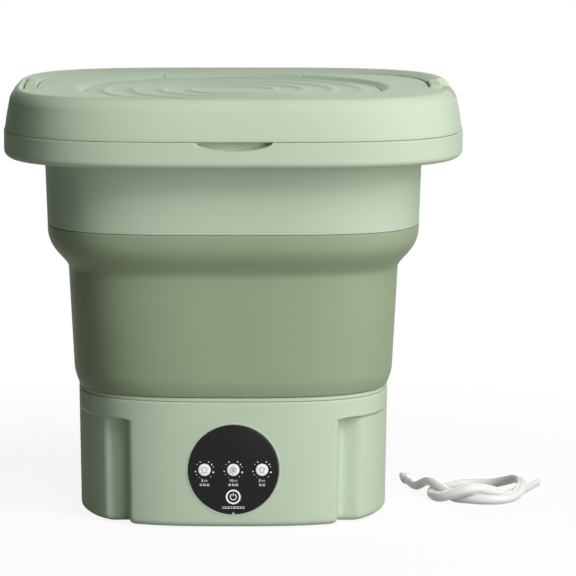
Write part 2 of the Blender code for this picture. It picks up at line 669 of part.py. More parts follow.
def lid_shell():
    """The lid: a skirt, a rim, a shelf for the handle at the back, and a dished panel."""
    angles = lid_angles()
    lift = np.degrees(np.arcsin(np.sin(angles)))
    rear = lift > side_angle(ARM_END_Y - HANDLE_SIDE_GAP)
    groove = lift > side_angle(GROOVE_START_Y)
    notch = (np.cos(angles) > 0) & (lift > side_angle(NOTCH_Y)) & ~rear

    def rim_height(drop):
        lowered = np.where(notch, np.maximum(drop, 6.5 * MM), drop)
        return LID_TOP - np.where(rear, SHELF_DROP, lowered)

    def lid_ring(inset, height):
        return ring(angles, plan_radius(angles, LID_HALF_WIDTH, inset), height)

    panel_z = LID_TOP - PANEL_DROP
    under_shelf = LID_TOP - SHELF_DROP - LID_WALL
    under_panel = panel_z - DISH_DEPTH - LID_WALL
    groove_floor = LID_TOP - np.where(groove, SHELF_DROP, PANEL_DROP)
    rings = [
        ring(angles, 20 * MM, panel_z - DISH_DEPTH),
        ring(angles, DISH_RADIUS, panel_z - DISH_DEPTH),
        ring(angles, DISH_RADIUS + DISH_SLOPE, panel_z),
        lid_ring(PANEL_INSET, panel_z),
        lid_ring(np.where(groove, GROOVE_INNER_INSET, 17.6 * MM), groove_floor),
        lid_ring(GROOVE_OUTER_INSET, groove_floor),
        lid_ring(GROOVE_OUTER_INSET - 0.5 * MM, rim_height(1.2 * MM)),
        lid_ring(RIM_CREST_INSET, rim_height(0)),
        lid_ring(6.6 * MM, rim_height(1.0 * MM)),
        lid_ring(4.4 * MM, rim_height(4.5 * MM)),
        lid_ring(SKIRT_TOP_INSET, rim_height(9.0 * MM)),
        lid_ring(0, LID_BOTTOM),
        lid_ring(LID_WALL, LID_BOTTOM),
        lid_ring(SKIRT_TOP_INSET + LID_WALL, under_shelf),
        lid_ring(PANEL_INSET + LID_WALL, under_shelf),
        lid_ring(PANEL_INSET + LID_WALL, under_panel),
        ring(angles, 20 * MM, under_panel),
    ]
    lid = loft("lid_shell", rings, "green_shell", location=(0, 0, LID_BOTTOM))
    vents = [rod("vent", VENT_RADIUS, 20 * MM, None, (x, VENT_Y, LID_TOP - 15 * MM), sides=12)
             for x in (-VENT_X, VENT_X)]
    combine(lid, vents)


def lid_liner():
    """The pan under the lid that plugs the tub's mouth."""
    angles = plan_angles()
    flange_z = LID_BOTTOM + 3.2 * MM
    bottom = flange_z - LINER_DEPTH
    plug_inset = BAND_WALL + LINER_CLEARANCE
    plug = plan_radius(angles, BAND_TOP_HALF_WIDTH, plug_inset)
    plug_inner = plan_radius(angles, BAND_TOP_HALF_WIDTH, plug_inset + LINER_THICKNESS)
    edge = plan_radius(angles, LID_HALF_WIDTH, LID_WALL + SKIRT_TOP_INSET * 0.3 + GAP)
    rings = [
        ring(angles, 20 * MM, bottom + LINER_THICKNESS),
        ring(angles, plug_inner, bottom + LINER_THICKNESS),
        ring(angles, plug_inner, flange_z + LINER_THICKNESS),
        ring(angles, edge, flange_z + LINER_THICKNESS),
        ring(angles, edge, flange_z),
        ring(angles, plug, flange_z),
        ring(angles, plug, bottom),
        ring(angles, 20 * MM, bottom),
    ]
    loft("lid_liner", rings, "green_shell", location=(0, 0, LID_BOTTOM))


def lid_seal():
    """The soft ring that the lid rests on, round the tub's lip."""
    angles = plan_angles()
    low = BAND_LIP_TOP + GAP
    high = LID_BOTTOM + 3.2 * MM - GAP
    outer = plan_radius(angles, BAND_TOP_HALF_WIDTH, -SEAL_WIDTH + 0.4 * MM)
    inner = plan_radius(angles, BAND_TOP_HALF_WIDTH, 0.4 * MM)
    corners = [(outer, low), (outer, high), (inner, high), (inner, low)]
    rings = [ring(angles, radius, height) for radius, height in corners]
    loft("lid_seal", rings, "dark_rubber", hollow=True, location=(0, 0, LID_BOTTOM))


def handle_section(angle, places):
    """Points of one cross-section of the handle, from pairs of inset and height."""
    points = []
    for inset, height in places:
        radius = plan_radius(np.array([angle]), LID_HALF_WIDTH, inset)[0]
        points.append((radius * math.cos(angle), radius * math.sin(angle), height))
    return np.array(points)


def carry_handle():
    """The bail: a wide band round the back of the lid that narrows to a pivoted arm at each side."""
    inner = GROOVE_INNER_INSET - HANDLE_SIDE_GAP
    outer = GROOVE_OUTER_INSET + HANDLE_SIDE_GAP
    half = HANDLE_THICKNESS / 2
    low = PIVOT_Z - half
    wide = [(3.4 * MM, low), (4.3 * MM, LID_TOP - 5.0 * MM), (6.6 * MM, LID_TOP - 1.2 * MM),
            (RIM_CREST_INSET, LID_TOP), (inner - 1 * MM, LID_TOP - 0.6 * MM), (inner, LID_TOP - 1.8 * MM),
            (inner, low)]

    def arm(rise):
        return [(outer, PIVOT_Z - rise), (outer, PIVOT_Z), (outer, PIVOT_Z + rise * 0.75),
                (outer + 0.9 * MM, PIVOT_Z + rise), (inner - 0.9 * MM, PIVOT_Z + rise),
                (inner, PIVOT_Z + rise * 0.75), (inner, PIVOT_Z - rise)]

    def arm_angle(y):
        return math.radians(side_angle(y))

    stations = [(arm_angle(-half * math.sin(t)), arm(half * math.cos(t))) for t in (1.3, 0.9, 0.45, 0)]
    stations += [(arm_angle(y), arm(half)) for y in (ARM_END_Y / 2, ARM_END_Y + 0.2 * MM)]
    stations.append((arm_angle(ARM_END_Y + 1.8 * MM), wide))
    stations += [(math.radians(a), wide) for a in range(20, 90, 7)]
    mirrored = [(math.pi - angle, places) for angle, places in reversed(stations)]
    sections = [handle_section(angle, places) for angle, places in stations + mirrored]
    handle = loft("carry_handle", sections, "green_shell", location=(0, 0, PIVOT_Z))
    bores = []
    for side in (-1, 1):
        start = (LID_HALF_WIDTH - GROOVE_INNER_INSET - 5 * MM) * side
        bore = rod("bore", PIN_RADIUS + PIN_CLEARANCE, 24 * MM, None, (start, 0, PIVOT_Z), "X", 16)
        if side < 0:
            bore.location.x -= 24 * MM
        bores.append(bore)
    combine(handle, bores)


def handle_pins():
    """The two pins that the handle turns on, across the groove at each side."""
    length = GROOVE_INNER_INSET - GROOVE_OUTER_INSET - 2 * GAP
    near = LID_HALF_WIDTH - GROOVE_INNER_INSET - 0.1 * MM + GAP
    rod("handle_pin_right", PIN_RADIUS, length, "zinc_steel", (near, 0, PIVOT_Z), "X", 16)
    rod("handle_pin_left", PIN_RADIUS, length, "zinc_steel", (-near - length, 0, PIVOT_Z), "X", 16)


# ---------------------------------------------------------------- controls

def lamp_places():
    """The three lamps in their row across the panel."""
    return [(-LAMP_PITCH, PANEL_Z), (0, PANEL_Z), (LAMP_PITCH, PANEL_Z)]


def panel_disc():
    """The glossy round panel, with holes for the lamps and the button."""
    centre = (0, PANEL_FACE_Y, PANEL_Z)
    disc = rod("panel_disc", PANEL_RADIUS, PANEL_THICKNESS, "panel_gloss", centre, "Y", 40)
    holes = [rod("hole", LAMP_RADIUS + GAP, 6 * MM, None, (x, PANEL_FACE_Y - 2 * MM, z), "Y", 20)
             for x, z in lamp_places()]
    holes.append(rod("hole", BUTTON_RADIUS + GAP, 6 * MM, None,
                     (0, PANEL_FACE_Y - 2 * MM, PANEL_Z - BUTTON_DROP), "Y", 24))
    combine(disc, holes)


def flanged_profile(radius, proud):
    """Outline of a button or lens that stands through the panel and is held by a flange behind it."""
    behind = PANEL_THICKNESS + proud + GAP
    return [(0, 0), (radius - 0.3 * MM, 0), (radius, 0.3 * MM), (radius, behind), (radius + LAMP_FLANGE, behind),
            (radius + LAMP_FLANGE, behind + LAMP_FLANGE), (0, behind + LAMP_FLANGE)]


def lamp_lenses():
    """A clear white lens for each program lamp."""
    for number, (x, z) in enumerate(lamp_places(), 1):
        turned(f"lamp_lens_{number}", flanged_profile(LAMP_RADIUS, 0.1 * MM), "lamp_white",
               (x, PANEL_FACE_Y - 0.1 * MM, z), "Y", 16)


def button_parts():
    """The power button, the plunger that it pushes and the switch behind them."""
    z = PANEL_Z - BUTTON_DROP
    proud = 0.4 * MM
    front = PANEL_FACE_Y - proud
    behind = PANEL_THICKNESS + proud + GAP
    stem_end = BOARD_FRONT_Y - SWITCH_HEIGHT - 1.2 * MM - GAP - front
    profile = [(0, 0), (BUTTON_RADIUS - 0.4 * MM, 0), (BUTTON_RADIUS, 0.4 * MM), (BUTTON_RADIUS, behind),
               (BUTTON_RADIUS + LAMP_FLANGE, behind), (BUTTON_RADIUS + LAMP_FLANGE, behind + LAMP_FLANGE),
               (STEM_RADIUS, behind + LAMP_FLANGE), (STEM_RADIUS, stem_end), (0, stem_end)]
    turned("power_button", profile, "panel_gloss", (0, front, z), "Y", 24)

    switch_front = BOARD_FRONT_Y - GAP - SWITCH_HEIGHT
    body = block("tact_switch", (SWITCH_SIZE, SWITCH_HEIGHT, SWITCH_SIZE), "black_plastic",
                 (0, switch_front + SWITCH_HEIGHT / 2, z))
    bore_depth = 1.0 * MM + BUTTON_TRAVEL + GAP
    combine(body, [rod("bore", PLUNGER_RADIUS + GAP, bore_depth + 1 * MM, None,
                       (0, switch_front - 1 * MM, z), "Y", 16)])
    plunger_start = front + stem_end + GAP
    rod("switch_plunger", PLUNGER_RADIUS, switch_front + 1.0 * MM - plunger_start, "white_plastic",
        (0, plunger_start, z), "Y", 16)


def board_parts():
    """The control board on its two posts, with a screw in each."""
    width, height = BOARD_SIZE
    board = block("control_board", (width, BOARD_THICKNESS, height), "board_green",
                  (0, BOARD_FRONT_Y + BOARD_THICKNESS / 2, PANEL_Z + 1 * MM))
    holes = [rod("hole", PILOT_RADIUS, 6 * MM, None, (x, BOARD_FRONT_Y - 2 * MM, POST_Z), "Y", 12)
             for x in (-POST_X, POST_X)]
    combine(board, holes)
    back = BOARD_FRONT_Y + BOARD_THICKNESS + GAP
    for name, x in (("board_screw_left", -POST_X), ("board_screw_right", POST_X)):
        screw(name, (x, back + SCREW_HEAD_HEIGHT, POST_Z), "Y", -1, 5.5 * MM)


# ---------------------------------------------------------------- drive

def motor_parts():
    """The motor, the plate that carries it, and the four screws into the tub floor."""
    bore = SHAFT_RADIUS + GAP
    depth = 20 * MM
    top = MOTOR_TOP
    bevel = 2 * MM
    profile = [(0, -MOTOR_LENGTH), (MOTOR_RADIUS - bevel, -MOTOR_LENGTH), (MOTOR_RADIUS, bevel - MOTOR_LENGTH),
               (MOTOR_RADIUS, -1 * MM), (MOTOR_RADIUS - 1 * MM, 0), (MOTOR_BOSS_RADIUS, 0),
               (MOTOR_BOSS_RADIUS, BRACKET_THICKNESS), (bore, BRACKET_THICKNESS), (bore, -depth), (0, -depth)]
    turned("motor_housing", profile, "zinc_steel", (0, 0, top))
    width, length = BRACKET_SIZE
    plate = block("motor_bracket", (width, length, BRACKET_THICKNESS), "zinc_steel",
                  (0, 0, top + GAP + BRACKET_THICKNESS / 2))
    cuts = [rod("hole", PILOT_RADIUS, 10 * MM, None, (x, y, top - 4 * MM), sides=12)
            for x, y in mirrored_places(MOTOR_SCREW_PLACE)]
    cuts.append(rod("hole", MOTOR_BOSS_RADIUS + GAP, 10 * MM, None, (0, 0, top - 4 * MM)))
    combine(plate, cuts)
    for number, (x, y) in enumerate(mirrored_places(MOTOR_SCREW_PLACE), 1):
        screw(f"motor_screw_{number}", (x, y, top - SCREW_HEAD_HEIGHT))


def shaft_parts():
    """The drive shaft with its bearing and seal in the tub floor's hub."""
    bottom = MOTOR_TOP - 19.5 * MM
    top = FLOOR_TOP + PULSATOR_HUB - CAP_HEIGHT - CAP_STEM - GAP
    rod("drive_shaft", SHAFT_RADIUS, top - bottom, "zinc_steel", (0, 0, bottom))
    bore = SHAFT_RADIUS + RUNNING_CLEARANCE * 3
    tube("shaft_bearing", bore, BEARING_RADIUS, BEARING_LENGTH, "zinc_steel", (0, 0, BEARING_BOTTOM))
    tube("shaft_seal", bore, BEARING_RADIUS, SEAL_LENGTH, "dark_rubber",
         (0, 0, BEARING_BOTTOM + BEARING_LENGTH + GAP))


def pulsator():
    """The wave plate that turns the water, with a hub over the tub floor's lip."""
    angles = np.linspace(0, 2 * math.pi, 36, endpoint=False)
    under = FLOOR_TOP + PULSATOR_RISE
    waves = 0.5 + 0.5 * np.cos(PULSATOR_WAVES * angles)
    bore = SHAFT_RADIUS + GAP
    hub_top = FLOOR_TOP + PULSATOR_HUB - CAP_HEIGHT - GAP
    sleeve = HUB_LIP_RADIUS + 1 * MM
    over_lip = FLOOR_TOP + HUB_LIP_HEIGHT + 1 * MM
    rings = [
        ring(angles, bore, hub_top),
        ring(angles, CAP_RADIUS, hub_top),
        ring(angles, CAP_RADIUS + 9 * MM, under + PULSATOR_RIM + 2.5 * MM * waves),
        ring(angles, PULSATOR_RADIUS - 14 * MM, under + 2.4 * MM + 4.5 * MM * waves),
        ring(angles, PULSATOR_RADIUS - 5 * MM, under + 3 * MM + 2.5 * MM * waves),
        ring(angles, PULSATOR_RADIUS, under + PULSATOR_RIM),
        ring(angles, PULSATOR_RADIUS, under),
        ring(angles, sleeve, under),
        ring(angles, sleeve, over_lip),
        ring(angles, bore, over_lip),
    ]
    loft("pulsator", rings, "green_shell", hollow=True)
    cap_bottom = hub_top + GAP
    profile = [(0, -CAP_STEM), (SHAFT_RADIUS, -CAP_STEM), (SHAFT_RADIUS, 0), (CAP_RADIUS, 0),
               (CAP_RADIUS, CAP_HEIGHT * 0.6), (CAP_RADIUS * 0.7, CAP_HEIGHT), (0, CAP_HEIGHT)]
    turned("pulsator_cap", profile, "green_shell", (0, 0, cap_bottom), sides=24)


def spin_basket():
    """The slotted basket that drops over the pulsator for spinning."""
    bottom = FLOOR_TOP + PULSATOR_HUB + GAP
    inner = BASKET_RADIUS - BASKET_WALL
    lip = 3 * MM
    lip_under = BASKET_HEIGHT - BASKET_WALL
    profile = [(0, 0), (BASKET_RADIUS - 3 * MM, 0), (BASKET_RADIUS, 3 * MM), (BASKET_RADIUS, lip_under),
               (BASKET_RADIUS + lip, lip_under), (BASKET_RADIUS + lip, BASKET_HEIGHT),
               (inner, BASKET_HEIGHT), (inner, BASKET_WALL), (0, BASKET_WALL)]
    basket = turned("spin_basket", profile, "white_plastic", (0, 0, bottom), sides=40)
    slots = []
    for i in range(BASKET_SLOTS):
        turn = 2 * math.pi * (i + 0.5) / BASKET_SLOTS
        centre = (BASKET_RADIUS * math.cos(turn), BASKET_RADIUS * math.sin(turn), bottom + BASKET_HEIGHT * 0.5)
        slot = block("slot", (12 * MM, 4 * MM, BASKET_HEIGHT * 0.5), None, centre)
        slot.rotation_euler.z = turn
        slots.append(slot)
    combine(basket, slots)


# ---------------------------------------------------------------- drain, inlet and wires

def smooth_route(points, count):
    """Evenly spaced points on a smooth curve through hand-chosen ones."""
    points = np.array(points, dtype=float)
    padded = np.vstack([2 * points[0] - points[1], points, 2 * points[-1] - points[-2]])
    fine = []
    for i in range(1, len(padded) - 2):
        before, start, end, after = padded[i - 1:i + 3]
        for t in np.linspace(0, 1, 24, endpoint=False):
            square = 2 * before - 5 * start + 4 * end - after
            cube = 3 * start - before - 3 * end + after
            fine.append(0.5 * (2 * start + (end - before) * t + square * t ** 2 + cube * t ** 3))
    fine.append(points[-1])
    fine = np.array(fine)
    run = np.concatenate([[0], np.cumsum(np.linalg.norm(np.diff(fine, axis=0), axis=1))])
    even = np.linspace(0, run[-1], count)
    return np.stack([np.interp(even, run, fine[:, axis]) for axis in range(3)], axis=1)


def cord(name, points, diameter, finish_name, sides_step=2):
    """A round cord along a row of points, its ends closed."""
    curve = bpy.data.curves.new(name, "CURVE")
    curve.dimensions = "3D"
    curve.bevel_depth = diameter / 2
    curve.bevel_resolution = sides_step
    curve.use_fill_caps = True
    spline = curve.splines.new("POLY")
    spline.points.add(len(points) - 1)
    for spot, place in zip(spline.points, points):
        spot.co = (*place, 1.0)
    obj = bpy.data.objects.new(name, curve)
    bpy.context.scene.collection.objects.link(obj)
    finish(obj, finish_name)


def drain_spout():
    """The elbow that leads from the tub floor's drain hole out of the back of the base."""
    start = Vector((DRAIN_X, DRAIN_Y, FLOOR_UNDER - GAP))
    reach = back_y(DRAIN_X, DRAIN_Z) + SPOUT_REACH
    bend_centre = Vector((DRAIN_X, DRAIN_Y + DRAIN_BEND, DRAIN_Z + DRAIN_BEND))
    path = [(start, Vector((0, 1, 0)))]
    for i in range(7):
        turn = math.pi / 2 * i / 6
        side = Vector((0, math.cos(turn), math.sin(turn)))
        path.append((bend_centre - DRAIN_BEND * side, side))
    path.append((Vector((DRAIN_X, reach, DRAIN_Z)), Vector((0, 0, 1))))

    def circle(centre, side, radius):
        turns = np.linspace(0, 2 * math.pi, 16, endpoint=False)
        across = Vector((1, 0, 0))
        return np.array([centre + radius * (math.cos(t) * side + math.sin(t) * across) for t in turns])

    rings = [circle(centre, side, SPOUT_RADIUS) for centre, side in path]
    rings += [circle(centre, side, SPOUT_RADIUS - SPOUT_WALL) for centre, side in reversed(path)]
    loft("drain_spout", rings, "white_plastic", hollow=True)


def drain_cap():
    """The soft cap pushed over the spout's end."""
    start = back_y(DRAIN_X, DRAIN_Z) + SPOUT_REACH - DRAIN_CAP_LENGTH + DRAIN_CAP_WALL + 1.2 * MM
    bore = SPOUT_RADIUS + GAP
    radius = bore + DRAIN_CAP_WALL
    length = DRAIN_CAP_LENGTH
    bevel = 0.8 * MM
    profile = [(bore, 0), (radius, 0), (radius, length - bevel), (radius - bevel, length),
               (0, length), (0, length - DRAIN_CAP_WALL), (bore, length - DRAIN_CAP_WALL)]
    turned("drain_cap", profile, "dark_rubber", (DRAIN_X, start, DRAIN_Z), "Y", 24)


def dc_socket():
    """The power inlet in the back wall: a barrel with a flange outside."""
    flange_radius = SOCKET_RADIUS + 2 * MM
    face = back_y(SOCKET_X - flange_radius, SOCKET_Z + flange_radius) + GAP
    flange = 1.4 * MM
    bore_depth = 11 * MM
    profile = [(SOCKET_BORE, flange), (flange_radius, flange), (flange_radius, 0),
               (SOCKET_RADIUS, 0), (SOCKET_RADIUS, flange - SOCKET_LENGTH), (0, flange - SOCKET_LENGTH),
               (0, flange - bore_depth), (SOCKET_BORE, flange - bore_depth)]
    turned("dc_socket", profile, "black_plastic", (SOCKET_X, face, SOCKET_Z), "Y", 24)


def inner_wires():
    """The leads inside the base, from the inlet and the motor to the control board."""
    board_back = BOARD_FRONT_Y + BOARD_THICKNESS + 1.3 * MM
    socket_end = back_y(SOCKET_X, SOCKET_Z) - SOCKET_LENGTH + 0.6 * MM
    dc_route = [(SOCKET_X, socket_end, SOCKET_Z), (SOCKET_X + 2 * MM, socket_end - 14 * MM, SOCKET_Z - 3 * MM),
                (56 * MM, 36 * MM, 20 * MM), (60 * MM, 4 * MM, 16 * MM), (54 * MM, -28 * MM, 18 * MM),
                (38 * MM, -52 * MM, 24 * MM), (26 * MM, -68 * MM, 30 * MM), (24 * MM, board_back, 32 * MM)]
    cord("dc_lead", smooth_route(dc_route, 26), 2.0 * MM, "black_plastic")
    exit_z = MOTOR_TOP - 26 * MM
    motor_route = [(-MOTOR_RADIUS - 1.3 * MM, 0, exit_z), (-38 * MM, -6 * MM, exit_z - 2 * MM),
                   (-43 * MM, -22 * MM, exit_z - 6 * MM), (-38 * MM, -44 * MM, exit_z - 8 * MM),
                   (-28 * MM, -62 * MM, exit_z - 6 * MM), (-24 * MM, board_back, exit_z - 4 * MM)]
    cord("motor_lead", smooth_route(motor_route, 18), 2.0 * MM, "black_plastic")


# ---------------------------------------------------------------- hose

# The hose lies on the floor in a loose overhand knot: x, y and height in millimetres
HOSE_ROUTE = [
    (131, 70, 4.8), (133.5, 59, 4.3), (137.5, 47, 4.3), (144.5, 30, 10.9), (152, 15.5, 9.1), (162, 3.5, 4.2),
    (173.5, -4, 3.9), (185.5, -7.5, 3.9), (197, -5.5, 3.9), (206.5, 1.5, 4.9), (212.5, 12.5, 8.4),
    (213.5, 25, 11.5), (210, 37, 11.3), (203.5, 46.5, 7.9), (194, 53, 4.5), (183, 55.5, 3.9), (171.5, 53.5, 3.9),
    (160.5, 46.5, 3.9), (152, 35.5, 3.9), (147.5, 23, 3.9), (147.5, 10.5, 3.9), (152.5, 0, 4.6), (161, -6, 7.8),
    (170.5, -8, 11.0), (181, -5.5, 11.7), (192, 0, 8.4), (201.5, 8.5, 4.6), (209, 20, 3.9), (216, 34, 3.9),
    (222, 48.5, 3.9), (227.5, 62, 3.9),
]


def drain_hose():
    """The loose hose, and the fitting on its near end."""
    route = [(x * MM, y * MM, z * MM) for x, y, z in HOSE_ROUTE]
    points = smooth_route(route, HOSE_POINTS)
    cord("drain_hose", points, HOSE_DIAMETER, "hose_clear")
    away = (points[0] - points[1]) / np.linalg.norm(points[0] - points[1])
    start = points[0] + away * GAP
    radius = ADAPTER_RADIUS
    length = ADAPTER_LENGTH
    profile = [(0, 0), (radius, 0), (radius, length * 0.4), (radius * 0.74, length * 0.47),
               (radius * 0.74, length * 0.94), (radius * 0.65, length), (radius * 0.43, length),
               (radius * 0.43, length * 0.3), (0, length * 0.3)]
    adapter = turned("hose_adapter", profile, "hose_clear", (start[0], start[1], start[2]), "Y", 20)
    adapter.rotation_euler.z = math.atan2(-away[0], away[1])


# ---------------------------------------------------------------- assembly

def clear_scene():
    """Empty the scene before modelling."""
    for obj in list(bpy.data.objects):
        bpy.data.objects.remove(obj)


def main():
    """Model every piece of the washer in place."""
    clear_scene()
    base_housing()
    bottom_cover()
    feet()
    for number, (x, y) in enumerate(column_places(), 1):
        head_z = cover_top() - COVER_THICKNESS - GAP - SCREW_HEAD_HEIGHT
        screw(f"cover_screw_{number}", (x, y, head_z))
    tub_floor()
    folding_wall()
    upper_band()
    tub_collar()
    lid_shell()
    lid_liner()
    lid_seal()
    carry_handle()
    handle_pins()
    panel_disc()
    lamp_lenses()
    button_parts()
    board_parts()
    motor_parts()
    shaft_parts()
    pulsator()
    spin_basket()
    drain_spout()
    drain_cap()
    dc_socket()
    inner_wires()
    drain_hose()


main()
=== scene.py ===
import math

import bmesh
import bpy
import numpy as np
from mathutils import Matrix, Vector


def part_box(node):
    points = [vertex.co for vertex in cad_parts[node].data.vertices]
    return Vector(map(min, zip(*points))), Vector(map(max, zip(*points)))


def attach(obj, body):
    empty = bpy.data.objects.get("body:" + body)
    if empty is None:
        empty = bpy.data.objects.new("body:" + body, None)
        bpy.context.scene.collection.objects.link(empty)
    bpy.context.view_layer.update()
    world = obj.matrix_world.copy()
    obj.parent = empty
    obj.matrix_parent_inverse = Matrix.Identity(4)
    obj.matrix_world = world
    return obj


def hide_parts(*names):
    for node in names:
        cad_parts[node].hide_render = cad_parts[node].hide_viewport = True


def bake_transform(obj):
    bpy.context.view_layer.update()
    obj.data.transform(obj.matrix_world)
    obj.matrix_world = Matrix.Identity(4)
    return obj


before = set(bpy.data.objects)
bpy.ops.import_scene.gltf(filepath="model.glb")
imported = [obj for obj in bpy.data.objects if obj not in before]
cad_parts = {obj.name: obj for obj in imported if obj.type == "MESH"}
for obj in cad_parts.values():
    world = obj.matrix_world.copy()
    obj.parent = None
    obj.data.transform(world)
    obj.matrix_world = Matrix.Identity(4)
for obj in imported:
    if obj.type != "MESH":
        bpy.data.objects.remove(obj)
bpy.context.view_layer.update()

bl_info = {
    "name": "Folding mini washer",
    "version": (1, 0, 0),
    "blender": (4, 5, 0),
    "location": "3D View > Sidebar > Washer",
    "description": "Dresses the washer's packed frame in finished shells, prints and materials",
    "category": "Object",
}

MM = 0.001


def low(node):
    """Lowest corner of a frame node."""
    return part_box(node)[0]


def high(node):
    """Highest corner of a frame node."""
    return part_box(node)[1]


# Places and sizes taken from the frame
BASE_BOTTOM = low("base_housing").z
BASE_TOP = high("base_housing").z
BASE_HALF_WIDTH = high("base_housing").x
FLOOR_TOP = low("folding_wall").z - 0.3 * MM
WALL_BOTTOM = low("folding_wall").z
WALL_TOP = high("folding_wall").z
BAND_BOTTOM = low("upper_band").z
COLLAR_BOTTOM = low("tub_collar").z
COLLAR_TOP = high("tub_collar").z
COLLAR_HALF_WIDTH = high("tub_collar").x
LID_BOTTOM = low("lid_shell").z
LID_TOP = high("lid_shell").z
LID_HALF_WIDTH = high("lid_shell").x
PANEL_FACE_Y = low("panel_disc").y
PANEL_Z = (low("panel_disc").z + high("panel_disc").z) / 2
PANEL_RADIUS = high("panel_disc").x
PIVOT_Z = (low("handle_pin_right").z + high("handle_pin_right").z) / 2

# Plan shape, shared by every shell
DEPTH_RATIO = 0.855
UPPER_POWER = 3.5
LOWER_POWER = 3.0
EVEN_ANGLES = 440

# Base
BASE_TAPER = 1.3 * MM
BASE_WALL = 2.6 * MM
BASE_ROUND = 4.5 * MM
BASE_LIP = 3.4 * MM
FLUTE_ANGLE = math.radians(43.5)
FLUTE_HALF_WIDTH = 13.0 * MM
FLUTE_DEPTH = 9.5 * MM
LEDGE_Z = BASE_TOP - 13.0 * MM
FLUTE_END = 2.5 * MM
LOBE_SETBACK = 2.0 * MM

# Wall and band
WALL_THICKNESS = 1.8 * MM
WALL_FLANGE = 8.0 * MM
CREASE_HALF_WIDTH = 119.0 * MM
CREASE_DROP = 33.0 * MM
FOOT_HALF_WIDTH = 115.6 * MM
FOOT_RISE = 14.0 * MM
BAND_HALF_WIDTH = 134.0 * MM
BAND_TOP_HALF_WIDTH = 135.7 * MM
BAND_WALL = 2.6 * MM
BAND_LIP = 5.4 * MM
BAND_LIP_TOP = COLLAR_TOP - 3.0 * MM
COLLAR_WALL = 2.6 * MM
COLLAR_ROUND = 4.6 * MM
SCOOP_HALF_WIDTH = 27.0 * MM
SCOOP_HEIGHT = 6.0 * MM
SCOOP_DEPTH = 6.5 * MM

# Lid and handle
LID_WALL = 2.4 * MM
SKIRT_TOP_INSET = 3.1 * MM
SKIRT_TOP_DROP = 9.0 * MM
RIM_CREST_INSET = 10.0 * MM
GROOVE_OUTER_INSET = 12.3 * MM
GROOVE_INNER_INSET = 22.1 * MM
PANEL_INSET = 22.7 * MM
PANEL_DROP = 3.0 * MM
SHELF_DROP = 10.5 * MM
NOTCH_DROP = 6.5 * MM
NOTCH_Y = -60.0 * MM
GROOVE_START_Y = -20.0 * MM
ARM_END_Y = 36.0 * MM
HANDLE_SIDE_GAP = 0.7 * MM
HANDLE_THICKNESS = 9.2 * MM
DISH_RADIUS = 107.0 * MM
DISH_SLOPE = 7.0 * MM
DISH_DEPTH = 2.7 * MM
RIPPLE_PITCH = 21.2 * MM
RIPPLE_FIRST = 30.0 * MM
CREASE_FROM_DISH = 0.3 * MM
CREASE_ROWS = np.array([-0.9, -0.6, -0.35, -0.15, 0.15, 0.35, 0.6, 0.9]) * MM
CREASE_DEPTH = 1.1 * MM
CREASE_WIDTH = 0.45 * MM
VENT_PLACE = (52.0 * MM, 98.0 * MM)
VENT_RADIUS = 1.5 * MM

# Panel
LAMP_PITCH = 20.4 * MM
LAMP_RADIUS = 4.4 * MM
BUTTON_RADIUS = 5.4 * MM
BUTTON_Z = PANEL_Z - 19.4 * MM
INK_LIFT = 0.06 * MM
LAMP_AIM_HEIGHT = 0.16

# Hose: its route on the floor, x, y and height in millimetres
HOSE_DIAMETER = 7.4 * MM
HOSE_BORE = 2.5 * MM
HOSE_POINTS = 44
HOSE_ROUTE = [
    (131, 70, 4.8), (133.5, 59, 4.3), (137.5, 47, 4.3), (144.5, 30, 10.9), (152, 15.5, 9.1), (162, 3.5, 4.2),
    (173.5, -4, 3.9), (185.5, -7.5, 3.9), (197, -5.5, 3.9), (206.5, 1.5, 4.9), (212.5, 12.5, 8.4),
    (213.5, 25, 11.5), (210, 37, 11.3), (203.5, 46.5, 7.9), (194, 53, 4.5), (183, 55.5, 3.9), (171.5, 53.5, 3.9),
    (160.5, 46.5, 3.9), (152, 35.5, 3.9), (147.5, 23, 3.9), (147.5, 10.5, 3.9), (152.5, 0, 4.6), (161, -6, 7.8),
    (170.5, -8, 11.0), (181, -5.5, 11.7), (192, 0, 8.4), (201.5, 8.5, 4.6), (209, 20, 3.9), (216, 34, 3.9),
    (222, 48.5, 3.9), (227.5, 62, 3.9),
]


def linear(hex_colour):
    """Turn an sRGB hex colour into a linear RGB tuple."""
    channels = [int(hex_colour[i:i + 2], 16) / 255 for i in (0, 2, 4)]
    return tuple(c / 12.92 if c <= 0.04045 else ((c + 0.055) / 1.055) ** 2.4 for c in channels)


# ---------------------------------------------------------------- settings

def colour_setting(name, description, hex_colour):
    """A colour that the user can change."""
    return bpy.props.FloatVectorProperty(name=name, description=description, subtype="COLOR", size=3,
                                         min=0, max=1, default=linear(hex_colour))


def length_setting(name, description, value):
    """A length that the user can change."""
    return bpy.props.FloatProperty(name=name, description=description, subtype="DISTANCE", unit="LENGTH",
                                   default=value)


class WasherColours(bpy.types.PropertyGroup):
    """Colours of the washer's mouldings."""
    shell: colour_setting("Shell", "Base, band, collar, lid and handle", "BBC9B3")
    wall: colour_setting("Folding wall", "Soft wall between the base and the band", "93A084")
    panel: colour_setting("Panel", "Round control panel", "141414")
    ink: colour_setting("Ink", "Marks printed on the panel", "F2F2F0")
    hose: colour_setting("Hose", "Drain hose and its fitting", "E2E2E0")


class WasherSizes(bpy.types.PropertyGroup):
    """Sizes of the details that the frame leaves plain."""
    ripple_height: length_setting("Ripple height", "Height of the rings in the lid's dish", 1.0 * MM)
    ink_width: length_setting("Ink line", "Width of a printed line", 0.42 * MM)


